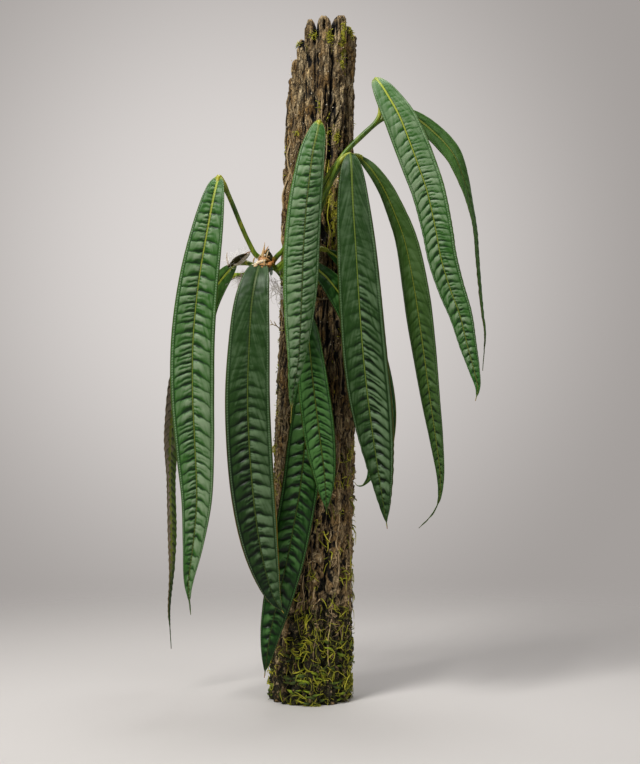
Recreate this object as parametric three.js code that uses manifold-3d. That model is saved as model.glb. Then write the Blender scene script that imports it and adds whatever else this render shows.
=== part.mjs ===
// A strap-leaved anthurium growing on an upright post of weathered wood.
// Millimetres, +Z up. The origin is the centre of the post's flat foot, and the plant hangs on the -Y side.
import * as THREE from "three";
import { mergeVertices } from "three/addons/utils/BufferGeometryUtils.js";
import Module from "manifold-3d";

const wasm = await Module();
wasm.setup();

const FULL_TURN = 2 * Math.PI;
const GAP = 0.35; // clearance between two pieces that rest on each other

// Post
const POST_FOOT_RADIUS = 56;
const POST_TOP_RADIUS = 46;
const POST_TAPER_FROM = 300; // height where the post starts to narrow
const POST_TAPER_TO = 900;
const POST_LEAN = 16 / 850; // sideways drift towards +X per millimetre of height
const GROOVE_DEPTH = 7;
const CREST_WAVE = 2.2; // how far a strand swells and shrinks along its height
const STRAND_SWAY = 4; // degrees that a strand wanders to either side
const POST_ROWS = 15;
const HEART_HEIGHT = 884; // floor of the hollow between the broken strand tips
// Each strand of the post: its direction in degrees (0 is the front, 90 is +X) and the height where it broke off.
const STRANDS = [
  [-152, 884], [-128, 870], [-102, 852], [-77, 864], [-54, 893], [-37, 911], [-20, 936],
  [8, 938], [41, 942], [66, 935], [92, 922], [118, 914], [144, 926], [176, 905],
];

// Stem: the creeping shoot that climbs the post and ends in the crown of leaves
const STEM_PATH = [
  [-15, -54, 500], [-20, -57, 540], [-32, -62, 572], [-46, -61, 592], [-60, -56, 604], [-66, -54, 611],
];
const STEM_RADII = [7.5, 9, 9.5, 9.5, 9, 6];

// Aerial roots: [direction on the post in degrees, height], from the stem outwards
const ROOT_RADIUS = 1.9;
const ROOTS = [
  [[-28, 546], [-14, 553], [3, 551], [20, 552], [36, 546], [52, 549]],
  [[-27, 508], [-22, 480], [-26, 440], [-19, 400], [-24, 362], [-20, 330]],
  [[-30, 532], [-52, 538], [-76, 529], [-100, 534], [-126, 524], [-148, 528]],
  [[-31, 516], [-44, 498], [-52, 462], [-49, 424], [-58, 392]],
  [[-25, 520], [-8, 504], [6, 478], [10, 440], [5, 404]],
];

// Dried sheaths round the growing tip: [how far the tip leans outwards, length], from the front round to +X
const SHEATHS = [[3, 22], [-2, 30], [4, 19], [0, 27], [3, 21], [-1, 32], [3, 24]];
const SHEATH_COLLAR = 9.5; // radius of the ring of sheaths at its foot
const SHEATH_NOTCH = 15; // height of the notches between them
const SHEATH_HEART = 16; // height in the middle of the ring

// Leaves
const BLADE_THICKNESS = 1.2;
const PETIOLE_RADIUS = 2.5;
const COLUMNS = [-1, -0.5, 0, 0.5, 1]; // across the blade: margin, middle of a half, midrib
const PUCKER_PITCH = 27; // along the midrib, from one raised fold to the next
const PUCKER_HEIGHT = 2.4;
const MARGIN_WAVE = 0.3; // share of the pucker height that reaches the margin
const VEIN_SWEEP = 0.42; // how far the side veins run tipwards, per millimetre outwards
const LEAST_HALF_WIDTH = 1.0;
const TIP_POWER = 0.75;

// A leaf: width; widest is where along the blade it is widest; tip and base are the fullness of its taper;
// fold is how far the halves fold back from the midrib, in degrees; turn is the compass turn of its upper
// face at base, middle and tip (0 faces -Y, 90 faces +X); rise is how far the face looks up at the base;
// pucker is the strength of the puckering at base and tip. petiole runs from the stem to the blade's base.
const LEAVES = {
  leaf_left_front: {
    width: 59, widest: 0.46, tip: 1.6, base: 0.42, fold: 5, turn: [0, 2, 6], rise: 40, pucker: [0.9, 1],
    petiole: [[-60, -57, 604], [-72, -60, 610], [-82, -61, 627], [-92, -64, 649], [-105, -70, 681], [-115, -76, 703]],
    midrib: [[-121, -83, 714], [-125, -96, 695], [-135, -103, 640], [-147, -104, 567], [-154, -102, 495],
      [-155, -98, 422], [-152, -94, 349], [-150, -92, 282], [-155, -90, 222], [-161, -90, 169], [-158, -90, 129]],
  },
  leaf_left_middle: {
    width: 40, widest: 0.42, tip: 1.5, base: 0.5, fold: 5, turn: [20, -5, -20], rise: 20, pucker: [0.3, 0.9],
    petiole: [[-62, -55, 603], [-74, -50, 598], [-82, -45, 600], [-91, -40, 602]],
    midrib: [[-101, -33, 601], [-115, -22, 588], [-130, -16, 569], [-144, -12, 543], [-155, -10, 503],
      [-162, -10, 448], [-165, -10, 386], [-166, -12, 317], [-166, -14, 248]],
  },
  leaf_left_back: {
    width: 48, widest: 0.45, tip: 1.5, base: 0.5, fold: 5, turn: [-125, -112, -97], rise: 20, pucker: [0.4, 1],
    petiole: [[-52, -59, 598], [-63, -44, 589], [-78, -28, 587], [-93, -14, 587], [-107, -2, 586]],
    midrib: [[-119, 5, 580], [-147, 15, 554], [-172, 22, 505], [-188, 26, 442], [-197, 28, 371],
      [-198, 28, 301], [-196, 26, 231], [-196, 25, 174], [-199, 24, 118], [-196, 22, 64]],
  },
  leaf_centre_left: {
    width: 60, widest: 0.5, tip: 2.3, base: 0.38, fold: 10, turn: [-4, 2, 24], rise: 60, pucker: [0.2, 1],
    petiole: [[-56, -58, 600], [-61, -70, 601], [-64, -82, 602]],
    midrib: [[-66, -96, 597], [-71, -110, 575], [-76, -118, 540], [-79, -122, 487], [-81, -122, 422],
      [-79, -118, 356], [-74, -113, 290], [-65, -108, 224], [-53, -104, 171], [-40, -101, 134]],
  },
  leaf_centre_front: {
    width: 52, widest: 0.48, tip: 1.8, base: 0.45, fold: 14, turn: [16, 22, 56], rise: 40, pucker: [0.9, 1],
    petiole: [[-52, -59, 598], [-44, -68, 608], [-34, -75, 618], [-26, -81, 645], [-16, -86, 680],
      [-3, -92, 720], [7, -96, 753], [12, -98, 775]],
    midrib: [[13, -104, 785], [11, -112, 771], [5, -118, 743], [0, -123, 703], [-3, -125, 677],
      [-7, -126, 624], [-9, -126, 572], [-11, -124, 520], [-14, -121, 468], [-21, -118, 424], [-24, -117, 385]],
  },
  leaf_right_front: {
    width: 64, widest: 0.62, tip: 2.1, base: 0.44, fold: 14, turn: [-4, -18, -48], rise: 40, pucker: [0.25, 1.1],
    petiole: [[-35, -62, 577], [-27, -73, 581], [-18, -80, 597], [-8, -85, 624], [4, -89, 656],
      [15, -91, 681], [30, -94, 711], [43, -97, 734]],
    midrib: [[54, -100, 742], [55, -108, 729], [57, -112, 678], [61, -113, 613], [65, -113, 547],
      [70, -112, 481], [77, -110, 415], [86, -108, 349], [94, -107, 297], [102, -106, 245]],
  },
  leaf_right_side: {
    width: 39, widest: 0.42, tip: 1.3, base: 0.5, fold: 18, turn: [-50, -14, -16], rise: 20, pucker: [0.1, 0.75],
    petiole: [[-37, -62, 580], [-26, -63, 588], [-14, -66, 604], [0, -68, 632], [17, -69, 677],
      [27, -70, 704], [41, -70, 728], [54, -72, 740]],
    midrib: [[65, -74, 742], [81, -77, 725], [98, -76, 699], [114, -74, 664], [127, -72, 629],
      [140, -70, 567], [151, -68, 495], [162, -66, 415], [170, -65, 361], [176, -64, 307],
      [174, -64, 280], [166, -64, 262], [147, -64, 242]],
  },
  leaf_upper_right: {
    width: 48, widest: 0.3, tip: 2.2, base: 0.38, fold: 14, turn: [0, -30, -26], rise: 35, pucker: [0.8, 1.05],
    petiole: [[-42, -61, 587], [-35, -73, 593], [-26, -79, 606], [-12, -84, 638], [4, -88, 672],
      [17, -89, 701], [47, -90, 744], [71, -93, 768], [88, -96, 784], [94, -98, 797], [91, -98, 817]],
    midrib: [[88, -101, 834], [91, -108, 838], [101, -118, 820], [117, -126, 788], [132, -127, 750],
      [142, -127, 722], [153, -126, 690], [165, -124, 638], [172, -122, 601], [184, -119, 562],
      [197, -117, 527], [207, -115, 488], [216, -113, 455], [221, -113, 431], [218, -112, 414]],
  },
  leaf_far_right: {
    width: 29, widest: 0.3, tip: 1.5, base: 0.5, fold: 8, turn: [0, 78, 74], rise: 10, pucker: [0.1, 0.6],
    petiole: [[-46, -61, 592], [-35, -64, 601], [-24, -69, 612], [-8, -75, 640], [5, -78, 668],
      [18, -79, 700], [47, -82, 744], [71, -83, 768], [91, -83, 786], [105, -84, 794]],
    midrib: [[119, -83, 799], [134, -80, 797], [151, -76, 787], [166, -73, 775], [183, -70, 759],
      [196, -68, 742], [211, -64, 704], [218, -62, 678], [224, -60, 650], [229, -58, 590],
      [234, -56, 536], [238, -55, 503], [235, -55, 454]],
  },
  leaf_lower_middle: {
    width: 43, widest: 0.55, tip: 2, base: 0.5, fold: 8, turn: [0, 0, 5], rise: 30, pucker: [0.2, 1],
    petiole: [[-24, -60, 556], [-22, -73, 561], [-18, -82, 564], [-12, -88, 556]],
    midrib: [[-7, -90, 540], [-3, -93, 515], [1, -96, 475], [5, -97, 435], [10, -96, 395],
      [15, -94, 355], [20, -92, 315], [23, -90, 263]],
  },
  leaf_lower_back: {
    width: 50, widest: 0.52, tip: 2.4, base: 0.5, fold: 8, turn: [0, 5, -5], rise: 20, pucker: [0.3, 1],
    petiole: [[-20, -57, 542], [-13, -66, 552], [-6, -71, 546]],
    midrib: [[-2, -71, 533], [2, -72, 502], [2, -74, 455], [-2, -76, 401], [-7, -77, 348], [-13, -78, 294],
      [-21, -79, 248], [-30, -80, 201], [-41, -80, 154], [-53, -78, 100], [-61, -74, 42]],
  },
  leaf_behind_upper: {
    width: 32, widest: 0.5, tip: 1.7, base: 0.5, fold: 6, turn: [0, 10, 20], rise: 20, pucker: [0.1, 0.6],
    petiole: [[-30, -61, 567], [-19, -57, 575], [-12, -57, 594], [-3, -58, 612], [12, -59, 619]],
    midrib: [[22, -60, 618], [38, -60, 607], [53, -58, 590], [67, -52, 557], [78, -44, 510],
      [85, -36, 455], [89, -30, 401], [91, -26, 353]],
  },
  leaf_behind_middle: {
    width: 41, widest: 0.5, tip: 2, base: 0.5, fold: 6, turn: [0, 0, 5], rise: 20, pucker: [0.1, 0.8],
    petiole: [[-29, -62, 566], [-27, -75, 568], [-22, -84, 578], [-14, -91, 592], [-8, -93, 600]],
    midrib: [[-2, -93, 602], [12, -92, 588], [22, -91, 579], [36, -90, 562], [56, -89, 532],
      [77, -88, 488], [91, -86, 440], [100, -85, 395], [103, -84, 350], [105, -84, 312]],
  },
  leaf_behind_lower: {
    width: 30, widest: 0.48, tip: 1.6, base: 0.5, fold: 6, turn: [0, 0, 0], rise: 20, pucker: [0.2, 0.8],
    petiole: [[-26, -60, 560], [-14, -60, 563], [0, -64, 572], [16, -69, 574]],
    midrib: [[25, -70, 569], [38, -71, 554], [52, -71, 525], [61, -70, 482], [69, -69, 435],
      [78, -67, 388], [84, -65, 347], [84, -63, 322], [79, -61, 307], [71, -60, 299], [64, -59, 299], [61, -58, 303]],
  },
};

const COLOURS = {
  post: { color: 0x5d4a36, roughness: 0.95, metalness: 0 },
  stem: { color: 0x59602f, roughness: 0.8, metalness: 0 },
  sheath: { color: 0x8d6a44, roughness: 0.9, metalness: 0 },
  leaf: { color: 0x2f5a2c, roughness: 0.45, metalness: 0 },
};

const smooth = (x) => THREE.MathUtils.smoothstep(x, 0, 1);
const radians = THREE.MathUtils.degToRad;
const vector = ([x, y, z]) => new THREE.Vector3(x, y, z);
const curveThrough = (points) => new THREE.CatmullRomCurve3(points.map(vector), false, "centripetal");

// A closed geometry as a solid, and a solid as a geometry
function solidOf(geometry) {
  const bare = geometry.index ? geometry.toNonIndexed() : geometry.clone();
  const merged = mergeVertices(
    new THREE.BufferGeometry().setAttribute("position", bare.getAttribute("position")),
    1e-3,
  );
  const triVerts = [];
  const index = merged.index.array;
  for (let i = 0; i < index.length; i += 3) {
    const [a, b, c] = [index[i], index[i + 1], index[i + 2]];
    if (a !== b && b !== c && c !== a) triVerts.push(a, b, c);
  }
  return new wasm.Manifold(
    new wasm.Mesh({
      numProp: 3,
      vertProperties: new Float32Array(merged.attributes.position.array),
      triVerts: new Uint32Array(triVerts),
    }),
  );
}

function geometryOf(solid) {
  const mesh = solid.getMesh();
  const geometry = new THREE.BufferGeometry();
  geometry.setAttribute("position", new THREE.BufferAttribute(new Float32Array(mesh.vertProperties), 3));
  geometry.setIndex(new THREE.BufferAttribute(new Uint32Array(mesh.triVerts), 1));
  return geometry;
}

// Keeps the largest body, so that a cut leaves no loose scrap
function largestBody(solid) {
  return solid.decompose().reduce((best, body) => (body.volume() > best.volume() ? body : best));
}

// Moves each vertex of a geometry to where place puts it
function reshape(geometry, place) {
  const position = geometry.getAttribute("position");
  const from = new THREE.Vector3();
  for (let i = 0; i < position.count; i++) {
    from.fromBufferAttribute(position, i);
    const to = place(from);
    position.setXYZ(i, to.x, to.y, to.z);
  }
  return geometry;
}

// A round tube along a curve, with its radius given along its length
function tube(curve, radiusAt, sides, steps) {
  const frames = curve.computeFrenetFrames(steps, false);
  const points = curve.getSpacedPoints(steps);
  return reshape(new THREE.CylinderGeometry(1, 1, 1, sides, steps), (v) => {
    const along = v.y + 0.5;
    const i = Math.round(along * steps);
    return points[i]
      .clone()
      .addScaledVector(frames.normals[i], v.z * radiusAt(along))
      .addScaledVector(frames.binormals[i], v.x * radiusAt(along));
  });
}

// Post
const postCentre = (z) => POST_LEAN * z;

function postRadius(z) {
  const share = (z - POST_TAPER_FROM) / (POST_TAPER_TO - POST_TAPER_FROM);
  return THREE.MathUtils.lerp(POST_FOOT_RADIUS, POST_TOP_RADIUS, smooth(share));
}

const strandWave = (i, z) => CREST_WAVE * Math.sin(z / 85 + 2.1 * i) * smooth(z / 60);
const strandSway = (i, z) => STRAND_SWAY * Math.sin(z / 150 + 1.7 * i);

function pointOnPost(degrees, radius, z) {
  const a = radians(degrees);
  return new THREE.Vector3(postCentre(z) + radius * Math.sin(a), -radius * Math.cos(a), z);
}

// The crest of the nearest strands in that direction, without the grooves
function crestRadius(degrees, z) {
  let nearest = 0;
  let least = 360;
  STRANDS.forEach(([direction], i) => {
    const away = Math.abs(THREE.MathUtils.euclideanModulo(degrees - direction + 180, 360) - 180);
    if (away < least) [least, nearest] = [away, i];
  });
  return postRadius(z) + strandWave(nearest, z);
}

// Columns per strand: its crest, its right flank, the groove after it, the next one's left flank
const FLANKS = [0, 0.3, 0.5, 0.7];
const FLANK_DEPTHS = [0, 0.24, 1, 0.24];
const FLANK_TIP_DROPS = [0, 4, 18, 4];
// Rings over the broken top, from the rim to the heart: [share of the radius, drop below the strand's tip]
const TOP_RINGS = [[1, 5], [0.88, 0], [0.66, 4]];
const HEART_RING = 0.5;

function postGeometry(extra = 0) {
  const profile = [new THREE.Vector2(0, 0)];
  for (let row = 0; row <= POST_ROWS; row++) profile.push(new THREE.Vector2(1, row / POST_ROWS));
  TOP_RINGS.slice(1).forEach(([share], i) => profile.push(new THREE.Vector2(share, 1 + (i + 1) / 10)));
  profile.push(new THREE.Vector2(HEART_RING, 2));
  profile.push(new THREE.Vector2(0, 2));
  const perStrand = FLANKS.length;
  const segments = STRANDS.length * perStrand;
  return reshape(new THREE.LatheGeometry(profile, segments), (v) => {
    const share = Math.hypot(v.x, v.z);
    const turn = THREE.MathUtils.euclideanModulo(Math.atan2(v.x, -v.z) / FULL_TURN, 1);
    const column = THREE.MathUtils.euclideanModulo(-Math.round(turn * segments), segments);
    const i = Math.floor(column / perStrand);
    const k = column % perStrand;
    const next = (i + 1) % STRANDS.length;
    const [from, topFrom] = STRANDS[i];
    const [to, topTo] = [STRANDS[next][0] + (next ? 0 : 360), STRANDS[next][1]];
    const tip = (FLANKS[k] === 0.5 ? Math.min(topFrom, topTo) : FLANKS[k] < 0.5 ? topFrom : topTo);
    const ring = v.y <= 1 ? 0 : Math.round((v.y - 1) * 10);
    const isHeart = v.y > 1.5;
    const peak = tip - FLANK_TIP_DROPS[k];
    const z = isHeart
      ? HEART_HEIGHT - 6 * (HEART_RING - share)
      : v.y < 1 ? v.y * (peak - TOP_RINGS[0][1]) : peak - TOP_RINGS[Math.min(ring, TOP_RINGS.length - 1)][1];
    const ownRadius = postRadius(z) + THREE.MathUtils.lerp(strandWave(i, z), strandWave(next, z), FLANKS[k]);
    const radius = share * (ownRadius - GROOVE_DEPTH * FLANK_DEPTHS[k] + extra);
    const sway = THREE.MathUtils.lerp(strandSway(i, z), strandSway(next, z), FLANKS[k]);
    return pointOnPost(THREE.MathUtils.lerp(from, to, FLANKS[k]) + sway, radius, z);
  });
}

// Stem and roots
const stemCurve = curveThrough(STEM_PATH);
const stemEnd = vector(STEM_PATH.at(-1));
const stemHeading = stemEnd.clone().sub(vector(STEM_PATH.at(-2))).normalize();

function stemRadius(along) {
  const place = along * (STEM_RADII.length - 1);
  const i = Math.min(Math.floor(place), STEM_RADII.length - 2);
  return THREE.MathUtils.lerp(STEM_RADII[i], STEM_RADII[i + 1], place - i);
}

function stemTube(extra) {
  const along = solidOf(tube(stemCurve, (share) => stemRadius(share) + extra, 12, 10));
  return along.add(along.translate(stemHeading.clone().multiplyScalar(extra).toArray()));
}

function rootTube(path) {
  const points = path.map(([degrees, z]) => pointOnPost(degrees, crestRadius(degrees, z) + ROOT_RADIUS, z));
  const start = stemCurve.getPoint(0.02 + 0.2 * smooth((path[0][1] - 505) / 45));
  const curve = new THREE.CatmullRomCurve3([start, ...points], false, "centripetal");
  return solidOf(tube(curve, (along) => ROOT_RADIUS * (1.15 - 0.5 * along), 6, 2 * path.length + 2));
}

function stemSolid(postWithGap) {
  const roots = ROOTS.map(rootTube);
  const whole = roots.reduce((stem, root) => stem.add(root), stemTube(0));
  return largestBody(whole.subtract(postWithGap));
}

// Leaves
function halfWidth(leaf, t) {
  const u = t < leaf.widest ? 1 - t / leaf.widest : (t - leaf.widest) / (1 - leaf.widest);
  const share = t < leaf.widest ? (1 - u * u) ** leaf.base : (1 - u ** leaf.tip) ** TIP_POWER;
  return Math.max(LEAST_HALF_WIDTH, (leaf.width / 2) * share);
}

function alongThree([base, middle, tip], t) {
  return t < 0.5
    ? THREE.MathUtils.lerp(base, middle, smooth(2 * t))
    : THREE.MathUtils.lerp(middle, tip, smooth(2 * t - 1));
}

// Place, direction across and upper face of the blade at t
function bladeFrame(leaf, curve, t) {
  const tangent = curve.getTangentAt(t);
  const turn = radians(alongThree(leaf.turn, t));
  const rise = radians(leaf.rise * (1 - smooth(t / 0.25)));
  const facing = new THREE.Vector3(
    Math.sin(turn) * Math.cos(rise), -Math.cos(turn) * Math.cos(rise), Math.sin(rise));
  const face = facing.addScaledVector(tangent, -facing.dot(tangent)).normalize();
  return { place: curve.getPointAt(t), face, across: face.clone().cross(tangent) };
}

function bladePoint(leaf, curve, length, t, s, wave) {
  const sweep = VEIN_SWEEP * halfWidth(leaf, t) * Math.abs(s) * Math.sin(Math.PI * t);
  const swept = Math.min(1, t + sweep / length);
  const { place, face, across } = bladeFrame(leaf, curve, swept);
  const half = halfWidth(leaf, swept);
  const fold = radians(leaf.fold);
  const envelope = Math.sin(Math.PI * Math.min(1, 4 * Math.min(t, 1 - t)) / 2);
  const pucker = PUCKER_HEIGHT * envelope * THREE.MathUtils.lerp(...leaf.pucker, smooth(1.4 * t));
  const reach = Math.abs(s) === 1 ? MARGIN_WAVE : s === 0 ? 0 : 1;
  const lift = -Math.abs(s) * half * Math.sin(fold) + wave * reach * pucker;
  return {
    point: place.addScaledVector(across, s * half * Math.cos(fold)).addScaledVector(face, lift),
    face,
  };
}

// The blade's two faces are the same grid, split into triangles alike, with a rim between them
function bladeGeometry(leaf, curve) {
  const length = curve.getLength();
  const rows = 2 * Math.round(length / PUCKER_PITCH);
  const columns = COLUMNS.length - 1;
  const upper = [];
  const lower = [];
  for (let row = 0; row <= rows; row++) {
    for (const s of COLUMNS) {
      const { point, face } = bladePoint(leaf, curve, length, row / rows, s, row % 2 ? 1 : -1);
      upper.push(point.clone().addScaledVector(face, BLADE_THICKNESS / 2));
      lower.push(point.clone().addScaledVector(face, -BLADE_THICKNESS / 2));
    }
  }
  const corners = [];
  const add = (...points) => points.forEach((p) => corners.push(p.x, p.y, p.z));
  const at = (row, column) => row * (columns + 1) + column;
  const quad = (side, a, b, c, d) => add(side[a], side[b], side[c], side[a], side[c], side[d]);
  for (let row = 0; row < rows; row++) {
    for (let column = 0; column < columns; column++) {
      const [a, b, c, d] = [at(row, column), at(row + 1, column), at(row + 1, column + 1), at(row, column + 1)];
      const isLeft = column < columns / 2;
      if (isLeft) {
        quad(upper, a, b, c, d);
        quad(lower, c, b, a, d);
      } else {
        quad(upper, b, c, d, a);
        quad(lower, d, c, b, a);
      }
    }
  }
  const rim = (a, b) => {
    add(upper[a], lower[b], upper[b]);
    add(upper[a], lower[a], lower[b]);
  };
  for (let row = 0; row < rows; row++) {
    rim(at(row, 0), at(row + 1, 0));
    rim(at(row + 1, columns), at(row, columns));
  }
  for (let column = 0; column < columns; column++) {
    rim(at(0, column + 1), at(0, column));
    rim(at(rows, column), at(rows, column + 1));
  }
  return new THREE.BufferGeometry().setAttribute("position", new THREE.Float32BufferAttribute(corners, 3));
}

// The petiole swells at both ends and runs out under the midrib of the blade
const RUN_OUT = [0.03, 0.08, 0.14];

function petioleTube(leaf, curve, extra = 0) {
  const under = RUN_OUT.map((t) => {
    const { place, face } = bladeFrame(leaf, curve, t);
    return place.addScaledVector(face, -0.4);
  });
  const path = new THREE.CatmullRomCurve3(
    [...leaf.petiole.map(vector), vector(leaf.midrib[0]), ...under], false, "centripetal");
  const bladeStart = 1 - (RUN_OUT[2] * curve.getLength()) / path.getLength();
  const radiusAt = (along) => {
    const flare = 0.7 * (1 - smooth(along / 0.2));
    const joint = 0.6 * Math.max(0, 1 - Math.abs(along - bladeStart + 0.06) / 0.08);
    const runOut = 1 - 0.62 * smooth((along - bladeStart) / (1 - bladeStart));
    return (PETIOLE_RADIUS + flare + joint) * runOut + extra;
  };
  return solidOf(tube(path, radiusAt, 6, leaf.petiole.length + 8));
}

function leafSolid(leaf, stemWithGap) {
  const curve = curveThrough(leaf.midrib);
  const whole = solidOf(bladeGeometry(leaf, curve)).add(petioleTube(leaf, curve));
  return largestBody(whole.subtract(stemWithGap));
}

// Dried sheaths: a ring of pointed flakes grown together round the tip of the stem
function sheathSolid(stemWithGap, keepClear) {
  const foot = stemEnd.clone().add(new THREE.Vector3(2, 0, -8));
  const columns = 2 * SHEATHS.length;
  const ring = reshape(new THREE.CylinderGeometry(1, 1, 1, columns, 1), (v) => {
    const share = Math.hypot(v.x, v.z);
    const turn = THREE.MathUtils.euclideanModulo(Math.atan2(v.x, v.z) / FULL_TURN, 1);
    const column = Math.round(turn * columns) % columns;
    const [lean, length] = SHEATHS[column >> 1];
    const isTip = column % 2 === 0;
    const height = v.y < 0 ? 0 : share < 0.5 ? SHEATH_HEART : isTip ? length : SHEATH_NOTCH;
    const out = share * (SHEATH_COLLAR + (v.y > 0 && isTip ? lean : 0));
    const a = turn * FULL_TURN;
    return foot.clone().add(new THREE.Vector3(out * Math.sin(a), -out * Math.cos(a), height));
  });
  return largestBody([stemWithGap, ...keepClear].reduce((solid, other) => solid.subtract(other), solidOf(ring)));
}

const group = new THREE.Group();

function addPiece(name, solid, finish) {
  const mesh = new THREE.Mesh(geometryOf(solid), new THREE.MeshStandardMaterial(finish));
  mesh.name = name;
  group.add(mesh);
}

const stemWithGap = stemTube(GAP);
const nearSheaths = ["leaf_left_front", "leaf_left_middle", "leaf_centre_left", "leaf_centre_front"];
const petiolesWithGap = nearSheaths.map((name) =>
  petioleTube(LEAVES[name], curveThrough(LEAVES[name].midrib), GAP));

addPiece("post", solidOf(postGeometry()), COLOURS.post);
addPiece("stem", stemSolid(solidOf(postGeometry(1.5 * GAP))), COLOURS.stem);
addPiece("sheaths", sheathSolid(stemWithGap, petiolesWithGap), COLOURS.sheath);
for (const [name, leaf] of Object.entries(LEAVES)) addPiece(name, leafSolid(leaf, stemWithGap), COLOURS.leaf);

export default group;
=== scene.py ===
import math

import bmesh
import bpy
import numpy as np
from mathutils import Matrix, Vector, noise


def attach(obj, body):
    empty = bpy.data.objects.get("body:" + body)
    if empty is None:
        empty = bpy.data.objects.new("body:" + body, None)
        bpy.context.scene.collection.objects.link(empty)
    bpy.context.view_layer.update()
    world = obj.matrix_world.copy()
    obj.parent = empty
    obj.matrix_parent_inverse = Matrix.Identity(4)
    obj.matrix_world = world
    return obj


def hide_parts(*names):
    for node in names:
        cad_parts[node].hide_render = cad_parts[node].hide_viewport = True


# Looks of a strap-leaved anthurium that grows on an upright post of weathered wood.
# Tables and working are in millimetres, meshes in metres; +Z is up and the plant hangs on the -Y side.

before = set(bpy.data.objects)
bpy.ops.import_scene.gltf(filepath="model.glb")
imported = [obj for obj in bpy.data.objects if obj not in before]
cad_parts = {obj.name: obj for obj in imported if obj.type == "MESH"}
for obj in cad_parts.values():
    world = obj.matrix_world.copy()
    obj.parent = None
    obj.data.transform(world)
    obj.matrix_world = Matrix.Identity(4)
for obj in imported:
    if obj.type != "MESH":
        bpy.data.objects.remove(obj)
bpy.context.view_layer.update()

MM = 0.001

# Camera, backdrop and floor: places and radii in metres, lens and sensor in millimetres
CAMERA_PLACE = (0.0139, -2.080, 0.439)
CAMERA_LENS = 70.49
CAMERA_SENSOR = 36  # along the picture's height
BACKDROP_COLOUR = "#b7b2af"
BACKDROP_RADIUS = 12
# The backdrop glows lighter round this place: a painted pool of light
BACKDROP_GLOW = (-0.6, 11.9, 1.57)  # the middle of the lighter patch on the backdrop
FLOOR_RADIUS = 1.6

# Post, as in the solids, but nine of its strands are turned a little and six end a little lower
POST_FOOT_RADIUS = 56
POST_TOP_RADIUS = 46
POST_TAPER_FROM = 300
POST_TAPER_TO = 900
POST_LEAN = 16 / 850
GROOVE_DEPTH = 7
CREST_WAVE = 2.2
STRAND_SWAY = 4
HEART_HEIGHT = 884
# Each strand: its direction in degrees (0 is the front, 90 is +X) and the height where it broke off
STRANDS = [
    (-152, 884), (-128, 870), (-104, 852), (-82, 862), (-62, 884), (-44, 908), (-25, 935),
    (4, 938), (34, 941), (62, 930), (91, 922), (118, 914), (144, 926), (176, 905),
]
POST_COLUMNS = 240
POST_ROWS = 396
GRAIN_RIDGES = 58  # fine ridges of the wood, all round the post
STRAIGHT_FROM = 330  # height from which the fibres run straighter
CURLY_BELOW = 560  # height from which the fibres curl, more and more towards the foot
GROOVES_NARROW_FROM = 740
BARK_RADIUS = 50  # of the smooth round post that the bark's relief is laid out on

# Stem and aerial roots, on the solids' routes, but the stem is slimmer towards the crown
STEM_PATH = [(-15, -54, 500), (-20, -57, 540), (-32, -62, 572), (-46, -61, 592), (-60, -56, 604),
             (-66, -54, 611)]
STEM_RADII = [7.5, 7.5, 4.6, 3.4, 4, 3]
ROOT_RADIUS = 1.9
ROOTS = [
    [(-28, 546), (-14, 553), (3, 551), (20, 552), (36, 546), (52, 549)],
    [(-27, 508), (-22, 480), (-26, 440), (-19, 400), (-24, 362), (-20, 330)],
    [(-30, 532), (-52, 538), (-76, 529), (-100, 534), (-126, 524), (-148, 528)],
    [(-31, 516), (-44, 498), (-52, 462), (-49, 424), (-58, 392)],
    [(-25, 520), (-8, 504), (6, 478), (10, 440), (5, 404)],
]

# Blades
BLADE_THICKNESS = 0.8
PETIOLE_RADIUS = 3.2
# Where the columns of a half blade stand, from the midrib (0) to the margin (1)
HALF_COLUMNS = [
    0, 0.022, 0.055, 0.1, 0.17, 0.26, 0.36, 0.46, 0.56, 0.65, 0.73, 0.785, 0.825, 0.865, 0.93, 1,
]
PILLOW_HEIGHT = 3.2
COLLECTING_VEIN = 0.825  # where the vein along the margin runs
STITCH_PITCH = 3.3
# The notches are painted shade in the gutters beside the midrib
NOTCH_PITCH = 3.9  # of the dark notches beside the midrib
LEAST_HALF_WIDTH = 0.45
TIP_POWER = 0.75  # how bluntly the blade narrows to its tip

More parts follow.
